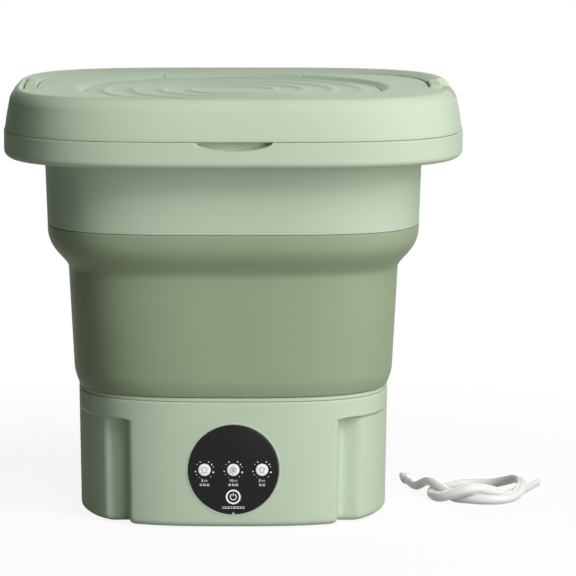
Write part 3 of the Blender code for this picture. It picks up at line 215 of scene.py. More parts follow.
class StageSettings(bpy.types.PropertyGroup):
    """Camera and lamps."""
    distance: length_setting("Camera distance", "From the washer's middle to the camera", 2.736)
    height: length_setting("Camera height", "Camera above the floor", 0.5499)
    pitch: bpy.props.FloatProperty(name="Camera pitch", description="Downward tilt", subtype="ANGLE",
                                   unit="ROTATION", default=math.radians(8.12))
    lens: bpy.props.FloatProperty(name="Lens", description="Focal length in millimetres", default=236.8)
    shift: bpy.props.FloatProperty(name="Shift", description="Sideways shift that frames the hose",
                                   default=0.0950)
    key: bpy.props.FloatProperty(name="High key", description="Power of the high lamp at the right",
                                 unit="POWER", default=27.0)
    low_key: bpy.props.FloatProperty(name="Low key", description="Power of the low lamp at the right",
                                     unit="POWER", default=33.0)
    fill: bpy.props.FloatProperty(name="Front lamp", description="Power of the high front lamp", unit="POWER",
                                  default=14.5)
    low_fill: bpy.props.FloatProperty(name="Low front lamp", description="Power of the low front lamp",
                                      unit="POWER", default=8.0)
    back: bpy.props.FloatProperty(name="Back lamp", description="Power of the broad lamp behind",
                                  unit="POWER", default=27.0)


# ---------------------------------------------------------------- materials

def add(tree, kind, settings=(), links=()):
    """Add a node, set its properties or sockets, and link outputs to its sockets."""
    node = tree.nodes.new(kind)
    for name, value in dict(settings).items():
        if isinstance(name, int) or name in node.inputs:
            node.inputs[name].default_value = value
        else:
            setattr(node, name, value)
    for name, output in dict(links).items():
        tree.links.new(output, node.inputs[name])
    return node


def moulded(name, colour, roughness, grain, relief, mottle=0.02, gloss_change=0.05, **shader_sockets):
    """A moulding: one colour that drifts a little with the flow of the melt, over a fine even tool grain.

    grain is the width in metres of one bump of the tool's texture, and relief its height.
    """
    made = bpy.data.materials.get(name)
    if made:
        return made
    made = bpy.data.materials.new(name)
    made.use_nodes = True
    tree = made.node_tree
    shader = tree.nodes["Principled BSDF"]
    base = (*colour, 1.0)
    for socket, value in {"Roughness": roughness, **shader_sockets}.items():
        shader.inputs[socket].default_value = value
    place = add(tree, "ShaderNodeTexCoord")
    drift = add(tree, "ShaderNodeTexNoise", {"Scale": 1 / (70 * MM), "Detail": 3.0},
                {"Vector": place.outputs["Object"]})
    lighter = tuple(min(1.0, c * (1 + mottle)) for c in colour) + (1.0,)
    darker = tuple(c * (1 - mottle) for c in colour) + (1.0,)
    tint = add(tree, "ShaderNodeMix", {"data_type": "RGBA", 6: darker, 7: lighter}, {0: drift.outputs["Fac"]})
    tree.links.new(tint.outputs[2], shader.inputs["Base Color"])
    shader.inputs["Base Color"].default_value = base
    texture = add(tree, "ShaderNodeTexNoise", {"Scale": 1 / grain, "Detail": 2.0, "Roughness": 0.6},
                  {"Vector": place.outputs["Object"]})
    gloss = add(tree, "ShaderNodeMapRange",
                {"To Min": roughness - gloss_change, "To Max": roughness + gloss_change},
                {"Value": texture.outputs["Fac"]})
    tree.links.new(gloss.outputs["Result"], shader.inputs["Roughness"])
    bump = add(tree, "ShaderNodeBump", {"Strength": 0.5, "Distance": relief},
               {"Height": texture.outputs["Fac"]})
    tree.links.new(bump.outputs["Normal"], shader.inputs["Normal"])
    return made


def colours():
    """The colour settings of the scene."""
    return bpy.context.scene.washer_colours


def shell_plastic():
    """Polypropylene, injection moulded with a fine satin spark grain: close to matt."""
    return moulded("satin_moulded_polypropylene", tuple(colours().shell), 0.6, 0.9 * MM, 0.012 * MM,
                   **{"IOR": 1.49, "Specular IOR Level": 0.02})


def wall_elastomer():
    """Thermoplastic elastomer, moulded: matt, with hardly any sheen."""
    return moulded("moulded_thermoplastic_elastomer", tuple(colours().wall), 0.5, 1.2 * MM, 0.015 * MM,
                   **{"IOR": 1.5, "Specular IOR Level": 0.03})


def panel_acrylic():
    """Acrylic film, back printed black: a smooth gloss face."""
    return moulded("back_printed_acrylic", tuple(colours().panel), 0.2, 4 * MM, 0.002 * MM, 0.01, 0.01,
                   **{"IOR": 1.49, "Specular IOR Level": 0.2})


def panel_ink():
    """Screen printed white ink: thin, even and matt."""
    return moulded("screen_printed_ink", tuple(colours().ink), 0.5, 0.5 * MM, 0.004 * MM, 0.01)


def lamp_plastic():
    """Polycarbonate with a diffusing filler, moulded: a soft white that light sinks into."""
    return moulded("diffusing_polycarbonate", linear("F6F6F4"), 0.35, 0.6 * MM, 0.004 * MM, 0.01, 0.03,
                   **{"IOR": 1.58, "Subsurface Weight": 0.15, "Subsurface Scale": 0.8 * MM})


def icon_ink():
    """Grey ink, pad printed on the lamps."""
    return moulded("pad_printed_grey_ink", linear("8C8C8A"), 0.5, 0.5 * MM, 0.002 * MM, 0.01)


def hose_plastic():
    """Soft clear vinyl, extruded: milky through its wall, with a soft gloss."""
    return moulded("extruded_milky_vinyl", tuple(colours().hose), 0.3, 3 * MM, 0.02 * MM, 0.015, 0.04,
                   **{"IOR": 1.53, "Specular IOR Level": 0.3, "Subsurface Weight": 0.15,
                      "Subsurface Scale": 1 * MM})


def white_plastic():
    """Natural polypropylene, injection moulded: off-white with a satin face."""
    return moulded("moulded_white_polypropylene", linear("E6E8E4"), 0.4, 0.8 * MM, 0.01 * MM, **{"IOR": 1.49})


def dark_rubber():
    """Ethylene rubber, press moulded: dull, with a dusty bloom."""
    return moulded("moulded_ethylene_rubber", linear("3A3D38"), 0.75, 0.7 * MM, 0.03 * MM, 0.08, 0.08,
                   **{"IOR": 1.52})


def black_plastic():
    """Black ABS, moulded with a fine spark grain."""
    return moulded("moulded_black_abs", linear("232323"), 0.5, 0.8 * MM, 0.02 * MM, 0.05, **{"IOR": 1.54})


def wire_vinyl():
    """Flexible vinyl, extruded over a wire: smooth black with a dull shine."""
    return moulded("extruded_black_vinyl", linear("1E1E1E"), 0.42, 2 * MM, 0.01 * MM, 0.05, **{"IOR": 1.53})


def plated_steel():
    """Mild steel, zinc plated: grey metal with a fine drawn grain along it and cloudy gloss."""
    name = "zinc_plated_steel"
    made = bpy.data.materials.get(name)
    if made:
        return made
    made = bpy.data.materials.new(name)
    made.use_nodes = True
    tree = made.node_tree
    shader = tree.nodes["Principled BSDF"]
    shader.inputs["Metallic"].default_value = 1.0
    place = add(tree, "ShaderNodeTexCoord")
    cloud = add(tree, "ShaderNodeTexNoise", {"Scale": 1 / (9 * MM), "Detail": 4.0},
                {"Vector": place.outputs["Object"]})
    tint = add(tree, "ShaderNodeMix",
               {"data_type": "RGBA", 6: (*linear("A9ADB0"), 1.0), 7: (*linear("C6C9CB"), 1.0)},
               {0: cloud.outputs["Fac"]})
    tree.links.new(tint.outputs[2], shader.inputs["Base Color"])
    gloss = add(tree, "ShaderNodeMapRange", {"To Min": 0.24, "To Max": 0.46}, {"Value": cloud.outputs["Fac"]})
    tree.links.new(gloss.outputs["Result"], shader.inputs["Roughness"])
    drawn = add(tree, "ShaderNodeMapping", {"Scale": (1.0, 1.0, 0.08)}, {"Vector": place.outputs["Object"]})
    grain = add(tree, "ShaderNodeTexNoise", {"Scale": 1 / (0.5 * MM), "Detail": 2.0},
                {"Vector": drawn.outputs[0]})
    bump = add(tree, "ShaderNodeBump", {"Strength": 0.3, "Distance": 0.01 * MM},
               {"Height": grain.outputs["Fac"]})
    tree.links.new(bump.outputs["Normal"], shader.inputs["Normal"])
    return made


def circuit_board():
    """Glass-filled epoxy board under green solder mask: a gloss coat with copper tracks 1.2 mm wide below it."""
    name = "solder_masked_circuit_board"
    made = bpy.data.materials.get(name)
    if made:
        return made
    made = bpy.data.materials.new(name)
    made.use_nodes = True
    tree = made.node_tree
    shader = tree.nodes["Principled BSDF"]
    shader.inputs["Roughness"].default_value = 0.3
    place = add(tree, "ShaderNodeTexCoord")
    tracks = add(tree, "ShaderNodeTexBrick",
                 {"Color1": (0, 0, 0, 1), "Color2": (0, 0, 0, 1), "Mortar": (1, 1, 1, 1),
                                              "Scale": 1.0, "Mortar Size": 0.6 * MM, "Brick Width": 9 * MM,
                                              "Row Height": 4 * MM})
    turned_place = add(tree, "ShaderNodeMapping", {"Rotation": (math.pi / 2, 0, 0)},
                       {"Vector": place.outputs["Object"]})
    tree.links.new(turned_place.outputs[0], tracks.inputs["Vector"])
    tint = add(tree, "ShaderNodeMix",
               {"data_type": "RGBA", 6: (*linear("24593A"), 1.0), 7: (*linear("4C8F5E"), 1.0)},
               {0: tracks.outputs["Color"]})
    tree.links.new(tint.outputs[2], shader.inputs["Base Color"])
    bump = add(tree, "ShaderNodeBump", {"Strength": 0.4, "Distance": 0.04 * MM},
               {"Height": tracks.outputs["Color"]})
    tree.links.new(bump.outputs["Normal"], shader.inputs["Normal"])
    return made


# ---------------------------------------------------------------- surfaces

def plan_angles(*extra):
    """Even angles round the plan, with extra ones, in radians, where a shape steps."""
    even = np.linspace(0, 2 * math.pi, EVEN_ANGLES, endpoint=False)
    added = np.mod(np.concatenate(extra), 2 * math.pi) if extra else np.empty(0)
    return np.unique(np.round(np.concatenate([even, added]), 7))


def plan_radius(angles, half_width, inset=0.0, power=UPPER_POWER):
    """Distance from the axis to a superellipse |x/a|^p + |y/b|^p = 1, moved inwards by inset."""
    across = np.abs(np.cos(angles)) / (half_width - inset)
    along = np.abs(np.sin(angles)) / (half_width * DEPTH_RATIO - inset)
    return (across ** power + along ** power) ** (-1 / power)


def around(angles, radius, height):
    """Points at a radius and height for each pair of a row and an angle."""
    radius, height, turn = np.broadcast_arrays(radius, height, angles)
    return np.stack([radius * np.cos(turn), radius * np.sin(turn), height], axis=-1)


def smooth_step(value, start, end):
    """Rise smoothly from 0 at start to 1 at end."""
    t = np.clip((value - start) / (end - start), 0, 1)
    return t * t * (3 - 2 * t)


def eased(corners, reach, steps=5, closed=True):
    """Round an outline's corners: each becomes a quadratic curve from one side to the next.

    reach is how far from a corner its curve starts, and is cut to half a side where a side is short.
    """
    corners = np.asarray(corners, dtype=float)
    reach = np.broadcast_to(np.asarray(reach, dtype=float), len(corners)).copy()
    if not closed:
        reach[[0, -1]] = 0
    to_last = np.roll(corners, 1, axis=0) - corners
    to_next = np.roll(corners, -1, axis=0) - corners
    lengths = [np.linalg.norm(side, axis=1) for side in (to_last, to_next)]
    reach = np.minimum(reach, np.minimum(*lengths) / 2)
    start = corners + to_last * (reach / np.maximum(lengths[0], 1e-12))[:, None]
    end = corners + to_next * (reach / np.maximum(lengths[1], 1e-12))[:, None]
    t = np.linspace(0, 1, steps)[None, :, None]
    curve = (1 - t) ** 2 * start[:, None] + 2 * t * (1 - t) * corners[:, None] + t ** 2 * end[:, None]
    points = curve.reshape(-1, 2)
    keep = np.concatenate([[True], np.linalg.norm(np.diff(points, axis=0), axis=1) > 1e-7])
    return points[keep]


def dress(piece, material, body, replaces=(), sharp=35):
    """Give a piece its material, its body, the frame nodes it stands for and its slot."""
    piece.data.materials.clear()
    piece.data.materials.append(material)
    piece.data.shade_smooth()
    piece.data.set_sharp_from_angle(angle=math.radians(sharp))
    if body:
        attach(piece, body)
    if replaces:
        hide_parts(*replaces)
    return piece


def surface(name, grid, closed_rows=False):
    """Skin a grid of points (rows, columns, 3): columns always join round, rows where closed_rows says so.

    Rows that shrink to one point become a pole, and open end rows that don't are capped by one face.
    """
    rows, columns = grid.shape[:2]
    index = np.arange(rows * columns).reshape(rows, columns)
    lower = index if closed_rows else index[:-1]
    upper = np.roll(index, -1, axis=0) if closed_rows else index[1:]
    faces = np.stack([lower, np.roll(lower, -1, axis=1), np.roll(upper, -1, axis=1), upper],
                     axis=-1).reshape(-1, 4)
    mesh = bpy.data.meshes.new(name)
    mesh.from_pydata(grid.reshape(-1, 3), [], faces.tolist())
    bm = bmesh.new()
    bm.from_mesh(mesh)
    if not closed_rows:
        bm.verts.ensure_lookup_table()
        for row in (index[0], index[-1]):
            if np.ptp(grid.reshape(-1, 3)[row], axis=0).max() > 1e-6:
                bm.faces.new([bm.verts[i] for i in row])
    bmesh.ops.remove_doubles(bm, verts=bm.verts, dist=2e-7)
    bmesh.ops.dissolve_degenerate(bm, edges=bm.edges, dist=1e-8)
    bmesh.ops.recalc_face_normals(bm, faces=bm.faces)
    bm.to_mesh(mesh)
    bm.free()
    piece = bpy.data.objects.new(name, mesh)
    bpy.context.scene.collection.objects.link(piece)
    return piece


def turned(name, outline, place, axis="Z", ease=0.3 * MM, sides=64, steps=4, closed=False):
    """Turn an outline of (radius, height) pairs once round an axis through a place."""
    profile = eased(outline, ease, steps, closed)
    angles = np.linspace(0, 2 * math.pi, sides, endpoint=False)
    grid = around(angles, profile[:, :1], profile[:, 1:])
    if axis == "Y":
        grid = grid[..., [0, 2, 1]]
    if axis == "X":
        grid = grid[..., [2, 0, 1]]
    return surface(name, grid + np.array(place), closed)


def rod(name, radius, length, place, axis="Z", sides=48):
    """A plain round rod, used for cutting holes and for joining on."""
    return turned(name, [(0, 0), (radius, 0), (radius, length), (0, length)], place, axis, 0, sides, 2)


def combine(piece, tools, operation="DIFFERENCE"):
    """Cut tools from a piece, or join them to it, and remove the tools."""
    for tool in tools:
        step = piece.modifiers.new("combine", "BOOLEAN")
        step.operation = operation
        step.solver = "EXACT"
        step.object = tool
    depsgraph = bpy.context.evaluated_depsgraph_get()
    depsgraph.update()
    result = bpy.data.meshes.new_from_object(piece.evaluated_get(depsgraph))
    piece.modifiers.clear()
    piece.data = result
    for tool in tools:
        bpy.data.objects.remove(tool)
    return piece


def joined(name, pieces):
    """Join pieces into one mesh, in place."""
    bm = bmesh.new()
    for piece in pieces:
        bm.from_mesh(piece.data)
    mesh = bpy.data.meshes.new(name)
    bm.to_mesh(mesh)
    bm.free()
    for piece in pieces:
        bpy.data.objects.remove(piece)
    whole = bpy.data.objects.new(name, mesh)
    bpy.context.scene.collection.objects.link(whole)
    return whole


# ---------------------------------------------------------------- base

def base_half_width(height):
    """Half width of the base's outside at a height, which narrows evenly towards the floor."""
    return BASE_HALF_WIDTH - BASE_TAPER * (BASE_TOP - height) / (BASE_TOP - BASE_BOTTOM)


def base_radius(angles, height, inset=0.0, shrink=0.0):
    """The base's plan at each height: a superellipse, less a cosine groove at each corner and a set-back lobe.

    The groove's depth falls to nothing over a short height under the ledge, as a quarter of a cosine.
    """
    radius = plan_radius(angles, base_half_width(height), inset + shrink, LOWER_POWER)
    folded = np.arctan2(np.abs(np.sin(angles)), np.abs(np.cos(angles)))
    corner = plan_radius(np.array([FLUTE_ANGLE]), BASE_HALF_WIDTH, 0, LOWER_POWER)[0]
    aside = corner * (folded - FLUTE_ANGLE) / (FLUTE_HALF_WIDTH + inset)
    above = np.maximum(0, height - (LEDGE_Z + inset - FLUTE_END)) / FLUTE_END
    groove = FLUTE_DEPTH * np.cos(math.pi / 2 * np.minimum(1, np.hypot(aside, above))) ** 2
    lobe = smooth_step(np.degrees(folded), 8, 26) * (1 - smooth_step(np.degrees(folded), 41, 46))
    return radius - groove - LOBE_SETBACK * lobe * np.clip(1 - above, 0, 1)


def back_y(x, height):
    """Outside of the base's back wall."""
    half = base_half_width(height)
    return half * DEPTH_RATIO * (1 - (abs(x) / half) ** LOWER_POWER) ** (1 / LOWER_POWER)


def base_shell():
    """Base housing: the plan above carried up a wall with rounded edges, then down its inner side."""
    angles = plan_angles()
    turn = np.linspace(0, math.pi / 2, 9)
    ledge_rows = np.linspace(LEDGE_Z - FLUTE_END - 0.6 * MM, LEDGE_Z + 0.6 * MM, 15)
    wall_rows = np.linspace(LEDGE_Z - FLUTE_END - 1.5 * MM, BASE_BOTTOM + BASE_ROUND, 20)
    outer = [(0.7 * MM, BASE_TOP), (0.2 * MM, BASE_TOP - 0.2 * MM), (0, BASE_TOP - 0.8 * MM)]
    outer += [(0, z) for z in np.linspace(BASE_TOP - 2 * MM, LEDGE_Z + 1.2 * MM, 6)]
    outer += [(0, z) for z in ledge_rows[::-1]] + [(0, z) for z in wall_rows]
    outer += [(BASE_ROUND * (1 - math.cos(t)),
               BASE_BOTTOM + BASE_ROUND * (1 - math.sin(t))) for t in turn[1:]]
    shrink, height = np.array(outer)[:, :1], np.array(outer)[:, 1:]
    outside = around(angles, base_radius(angles, height, 0, shrink), height)
    lip = np.array([[BASE_BOTTOM], [BASE_BOTTOM + BASE_LIP]])
    lip_rows = around(angles, base_radius(angles, lip, BASE_WALL, BASE_ROUND), lip)
    inner_ledge = LEDGE_Z + BASE_WALL
    inner = np.concatenate([[BASE_BOTTOM + 10 * MM], np.linspace(inner_ledge - FLUTE_END, inner_ledge, 6),
                            [BASE_TOP]])[:, None]
    inner_rows = around(angles, base_radius(angles, inner, BASE_WALL), inner)
    housing = surface("base_shell", np.concatenate([outside, lip_rows, inner_rows]), True)
    seat_y = PANEL_FACE_Y + 1.6 * MM
    spout_x, spout_z = middle("drain_spout")
    socket_x, socket_z = middle("dc_socket")
    cuts = [rod("cut", PANEL_RADIUS + 0.35 * MM, 20 * MM, (0, seat_y - 20 * MM, PANEL_Z), "Y", 128),
            rod("cut", 28.5 * MM, 20 * MM, (0, PANEL_FACE_Y - 5 * MM, PANEL_Z), "Y", 96),
            rod("cut", 4.5 * MM, 30 * MM, (socket_x, back_y(socket_x, socket_z) - 15 * MM, socket_z), "Y"),
            rod("cut", 6.8 * MM, 30 * MM, (spout_x, back_y(spout_x, spout_z) - 15 * MM, spout_z), "Y")]
    combine(housing, cuts)
    return dress(housing, shell_plastic(), "base", ["base_housing"])


def middle(node):
    """x and z of a node whose open end is round and faces the back."""
    lowest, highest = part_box(node)
    if node == "drain_spout":
        return (lowest.x + highest.x) / 2, lowest.z + (highest.x - lowest.x) / 2
    return (lowest.x + highest.x) / 2, (lowest.z + highest.z) / 2


def panel_bead():
    """A fine raised bead on the housing round the panel: a half round carried round a circle on the curved front."""
    turn = np.linspace(0, 2 * math.pi, 160, endpoint=False)
    section = np.linspace(0, 2 * math.pi, 12, endpoint=False)[:, None]
    radius = PANEL_RADIUS + 1.1 * MM + 0.55 * MM * np.cos(section)
    x, z = radius * np.cos(turn), PANEL_Z + radius * np.sin(turn)
    half = base_half_width(z)
    front = -half * DEPTH_RATIO * (1 - (np.abs(x) / half) ** LOWER_POWER) ** (1 / LOWER_POWER)
    grid = np.stack([x, front - 0.28 * MM * np.sin(section), z], axis=-1)
    return dress(surface("panel_bead", grid, True), shell_plastic(), "base")


def tub_floor():
    """Tub floor: one plan ring stepped down through its edge, hub, seal bore and locating rib."""
    angles = plan_angles()
    under = FLOOR_TOP - 2.7 * MM
    bearing_bottom = low("shaft_bearing").z
    seat_top = high("shaft_seal").z + 0.3 * MM
    hub_radius, neck, bore, lip_top = 16.5 * MM, 7.5 * MM, 10.8 * MM, FLOOR_TOP + 4.5 * MM
    edge = BASE_HALF_WIDTH

    def plan_rows(*places):
        """Rows that follow the plan, from (inset, height) places."""
        places = np.array(places)
        return around(angles, plan_radius(angles, edge, places[:, :1], LOWER_POWER), places[:, 1:])

    def round_rows(*places):
        """Circular rows, from (radius, height) places."""
        places = np.array(places)
        return around(angles, places[:, :1], places[:, 1:])

    grid = np.concatenate([
        plan_rows((0.9 * MM, FLOOR_TOP), (8 * MM, FLOOR_TOP)),
        round_rows((40 * MM, FLOOR_TOP), (12.6 * MM, FLOOR_TOP), (12 * MM, FLOOR_TOP + 0.6 * MM),
                   (12 * MM, lip_top - 0.5 * MM), (11.5 * MM, lip_top), (neck, lip_top), (neck, seat_top),
                   (bore, seat_top), (bore, bearing_bottom - 1 * MM), (hub_radius, bearing_bottom - 1 * MM),
                   (hub_radius, under)),
        plan_rows((6.0 * MM, under), (6.0 * MM, under - 4.8 * MM), (3.2 * MM, under - 4.8 * MM),
                  (3.2 * MM, under),
                  (0.9 * MM, under), (0.6 * MM, under + 0.3 * MM), (0.6 * MM, FLOOR_TOP - 0.3 * MM)),
    ])
    floor = surface("tub_floor_moulding", grid, True)
    boss_bottom = high("motor_bracket").z + 0.3 * MM
    screw_x, screw_y = 42 * MM, 26 * MM
    places = [(x, y) for x in (-screw_x, screw_x) for y in (-screw_y, screw_y)]
    combine(floor,
            [rod("boss", 5 * MM, under + 1.3 * MM - boss_bottom, (x, y, boss_bottom)) for x, y in places],
            "UNION")
    cuts = [rod("pilot", 1.8 * MM, 11 * MM, (x, y, boss_bottom - 1 * MM)) for x, y in places]
    spout_x = middle("drain_spout")[0]
    cuts.append(rod("drain", 4.5 * MM, 20 * MM, (spout_x, low("drain_spout").y + 6.5 * MM, under - 10 * MM)))
    combine(floor, cuts)
    return dress(floor, shell_plastic(), "base", ["tub_floor"])


def base_underside():
    """Bottom cover on the base's own plan, with four turned rubber feet and four pan-head screws."""
    angles = plan_angles()
    cover_low, cover_high = low("bottom_cover").z, high("bottom_cover").z
    rows = np.array([(40 * MM, cover_high), (0.3 * MM, cover_high), (0, cover_high - 0.3 * MM),
                     (0, cover_low + 0.3 * MM), (0.3 * MM, cover_low), (40 * MM, cover_low)])
    level = np.full((len(rows), 1), BASE_BOTTOM)
    radius = base_radius(angles, level, BASE_WALL, BASE_ROUND + 0.3 * MM) - rows[:, :1]
    grid = around(angles, radius, rows[:, 1:])
    centre = np.zeros((1, len(angles), 3))
    grid = np.concatenate([centre + (0, 0, cover_high), grid, centre + (0, 0, cover_low)])
    cover = surface("bottom_plate", grid)
    column_x, column_y = BASE_HALF_WIDTH - 17 * MM, 26 * MM
    combine(cover, [rod("hole", 1.8 * MM, 6 * MM, (x, y, cover_low - 1 * MM))
                    for x in (-column_x, column_x) for y in (-column_y, column_y)])
    dress(cover, shell_plastic(), "base", ["bottom_cover"])
    for number in range(1, 5):
        node = f"rubber_foot_{number}"
        lowest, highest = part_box(node)
        x, y = (lowest.x + highest.x) / 2, (lowest.y + highest.y) / 2
        height, radius = highest.z, (highest.x - lowest.x) / 2
        foot = turned(f"foot_pad_{number}",
                      [(0, 0.5 * MM), (radius - 3.4 * MM, 0.5 * MM), (radius - 2.8 * MM, 0),
                                             (radius - 0.9 * MM, 0), (radius, 1 * MM), (radius, height), (0, height)],
                      (x, y, 0), ease=0.4 * MM)
        dress(foot, dark_rubber(), "base", [node])
        screw_head(f"cover_screw_{number}", 1)


def screw_head(node, outward):
    """A pan-head screw with a crossed drive: a turned head and shank, less two crossing slots."""
    lowest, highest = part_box(node)
    x, y = (lowest.x + highest.x) / 2, (lowest.y + highest.y) / 2
    radius, length = (highest.x - lowest.x) / 2, highest.z - lowest.z
    outline = [(0, 0), (radius * 0.7, 0), (radius, 0.8 * MM), (radius, 1.6 * MM), (1.5 * MM, 1.6 * MM),
               (1.5 * MM, length - 1 * MM), (0.3 * MM, length), (0, length)]
    piece = turned(node + "_turned", outline, (x, y, lowest.z), ease=0.4 * MM, sides=40)
    slots = []
    for size in ((3.2 * MM, 0.7 * MM), (0.7 * MM, 3.2 * MM)):
        bpy.ops.mesh.primitive_cube_add(size=1)
        slot = bpy.context.object
        slot.data.transform(slot.matrix_world)
        slot.data.vertices.foreach_set("co", (np.array([v.co for v in slot.data.vertices])
                                              * (*size, 1.6 * MM) + (x, y, lowest.z)).ravel())
        slots.append(slot)
    combine(piece, slots)
    return dress(piece, plated_steel(), "base", [node])


# ---------------------------------------------------------------- folding wall, band and collar

def wall_half_width(height):
    """Half width of the folding wall: a sine foot, a straight wall, a soft crease and a rounded shoulder."""
    rise = height - WALL_BOTTOM
    crease_z = WALL_TOP - CREASE_DROP
    foot = BASE_HALF_WIDTH + (FOOT_HALF_WIDTH - BASE_HALF_WIDTH) * np.sin(
        math.pi / 2 * np.clip(rise / FOOT_RISE, 0, 1))
    along = np.clip((rise - FOOT_RISE) / (crease_z - WALL_BOTTOM - FOOT_RISE), 0, 1)
    straight = FOOT_HALF_WIDTH + (CREASE_HALF_WIDTH - FOOT_HALF_WIDTH) * along
    drop = np.clip((WALL_TOP - height) / CREASE_DROP, 0, 1)
    shoulder = CREASE_HALF_WIDTH + (BAND_HALF_WIDTH - CREASE_HALF_WIDTH) * (1 - drop ** 3) ** 2.2
    return np.where(rise < FOOT_RISE, foot, np.where(height < crease_z, straight, shoulder))


def wall_power(height):
    """Squareness of the wall, from the base's at its foot to the band's at its crease."""
    along = np.clip((height - WALL_BOTTOM) / (WALL_TOP - WALL_BOTTOM - CREASE_DROP), 0, 1)
    return LOWER_POWER + (UPPER_POWER - LOWER_POWER) * along


def folding_wall():
    """Folding wall: its plan at each height, out and up, and back down inside, with a flange at each end."""
    angles = plan_angles()
    heights = np.concatenate([[WALL_BOTTOM], WALL_BOTTOM + np.linspace(0.4, FOOT_RISE / MM, 12) * MM,
                              np.linspace(WALL_BOTTOM + FOOT_RISE, WALL_TOP - CREASE_DROP, 16)[1:],
                              np.linspace(WALL_TOP - CREASE_DROP, WALL_TOP - 0.4 * MM, 34)[1:], [WALL_TOP]])[:, None]
    edge_ease = np.zeros_like(heights)
    edge_ease[[0, -1]] = 0.4 * MM
    outside = around(angles, plan_radius(angles, wall_half_width(heights), edge_ease, wall_power(heights)),
                     heights)
    inner = heights[-2:0:-3]
    top = np.array([[WALL_TOP], [WALL_TOP]])
    flange_top = around(angles, plan_radius(angles, wall_half_width(top), WALL_FLANGE, wall_power(top)),
                        top - [[0], [WALL_THICKNESS]])
    inside = around(angles, plan_radius(angles, wall_half_width(inner), WALL_THICKNESS, wall_power(inner)),
                    np.minimum(inner, WALL_TOP - WALL_THICKNESS))
    foot = np.array([[WALL_BOTTOM], [WALL_BOTTOM]])
    flange_foot = around(angles, plan_radius(angles, wall_half_width(foot), WALL_FLANGE, wall_power(foot)),
                         foot + [[WALL_THICKNESS], [0]])
    wall = surface("folding_wall_skin", np.concatenate([outside, flange_top, inside, flange_foot]), True)
    dress(wall, wall_elastomer(), None, ["folding_wall"], 50)
    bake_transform(wall)
    return wall


def band_ring():
    """Upper band: a closed outline of (half width, inset, height) carried round the plan, with eased edges."""
    angles = plan_angles()
    lip_under = BAND_LIP_TOP - 2.2 * MM
    outline = [(0, BAND_BOTTOM), (0, COLLAR_BOTTOM), (0, lip_under), (-BAND_LIP, lip_under),
               (-BAND_LIP, BAND_LIP_TOP), (BAND_WALL, BAND_LIP_TOP), (BAND_WALL, COLLAR_BOTTOM),
               (BAND_WALL, BAND_BOTTOM)]
    profile = eased(outline, 0.5 * MM, 5)
    share = np.clip((profile[:, 1:] - BAND_BOTTOM) / (COLLAR_BOTTOM - BAND_BOTTOM), 0, 1)
    half = BAND_HALF_WIDTH + (BAND_TOP_HALF_WIDTH - BAND_HALF_WIDTH) * share
    grid = around(angles, plan_radius(angles, half, profile[:, :1]), profile[:, 1:])
    return dress(surface("band_moulding", grid, True), shell_plastic(), "upper", ["upper_band"])


def scoop(angles, radius, height, grow=0.0):
    """Depth of the finger scoop: a half ellipse cut down from the rim, steep at its edge, with a flat back."""
    across = radius * np.cos(angles) / (SCOOP_HALF_WIDTH + grow)
    down = (COLLAR_TOP - height) / (SCOOP_HEIGHT + grow)
    inside = np.clip(1 - across ** 2 - down ** 2, 0, 1)
    return np.where(np.sin(angles) < 0, SCOOP_DEPTH * np.minimum(1, 2.4 * np.sqrt(inside)), 0)


def collar_ring():
    """Collar: a channel section carried round the plan, less the finger scoop."""
    front = np.radians(np.arange(0, 11.6, 0.16))
    angles = plan_angles(1.5 * math.pi + front, 1.5 * math.pi - front)
    turn = np.linspace(0, math.pi / 2, 10)[1:]
    face = [(0.5 * MM, COLLAR_TOP), (0.15 * MM, COLLAR_TOP - 0.15 * MM)]
    face += [(0, COLLAR_TOP - z * MM) for z in np.arange(0.5, 8, 0.25)]
    face += [(0, z) for z in np.linspace(COLLAR_TOP - 8.2 * MM, COLLAR_BOTTOM + COLLAR_ROUND, 5)]
    face += [(COLLAR_ROUND * (1 - math.cos(t)),
              COLLAR_BOTTOM + COLLAR_ROUND * (1 - math.sin(t))) for t in turn]
    face = np.array(face)
    radius = plan_radius(angles, COLLAR_HALF_WIDTH, face[:, :1])
    outside = around(angles, radius - scoop(angles, radius, face[:, 1:]), face[:, 1:])
    wall_top = BAND_LIP_TOP - 2.5 * MM
    hole = np.array([(-0.3 * MM, COLLAR_BOTTOM), (-0.3 * MM, wall_top), (-2.7 * MM, wall_top),
                     (-2.7 * MM, COLLAR_BOTTOM + COLLAR_WALL)])
    inner_wall = around(angles, plan_radius(angles, BAND_TOP_HALF_WIDTH, hole[:, :1]), hole[:, 1:])
    back = np.array([(COLLAR_ROUND, COLLAR_BOTTOM + COLLAR_WALL), (COLLAR_WALL, COLLAR_BOTTOM + COLLAR_ROUND),
                     (COLLAR_WALL,
                      COLLAR_TOP - SCOOP_HEIGHT - COLLAR_WALL), (COLLAR_WALL, COLLAR_TOP - 4.5 * MM),
                     (COLLAR_WALL, COLLAR_TOP - 2.4 * MM), (COLLAR_WALL, COLLAR_TOP)])
    radius = plan_radius(angles, COLLAR_HALF_WIDTH, back[:, :1])
    inside = around(angles, radius - scoop(angles, radius, back[:, 1:], COLLAR_WALL / 2), back[:, 1:])
    grid = np.concatenate([outside, inner_wall, inside])
    return dress(surface("collar_moulding", grid, True), shell_plastic(), "upper", ["tub_collar"])


# ---------------------------------------------------------------- lid and handle

def side_angle(y):
    """Angle from the middle of a side to a place y along it."""
    return math.atan2(y, LID_HALF_WIDTH - GROOVE_OUTER_INSET)


def stepped_angles(*places):
    """Even angles, with a close pair on each side of the lid wherever its edge steps."""
    steps = [side_angle(y) + nudge for y in places for nudge in (-0.0022, 0.0022)]
    return plan_angles(np.array(steps + [math.pi - s for s in steps]))


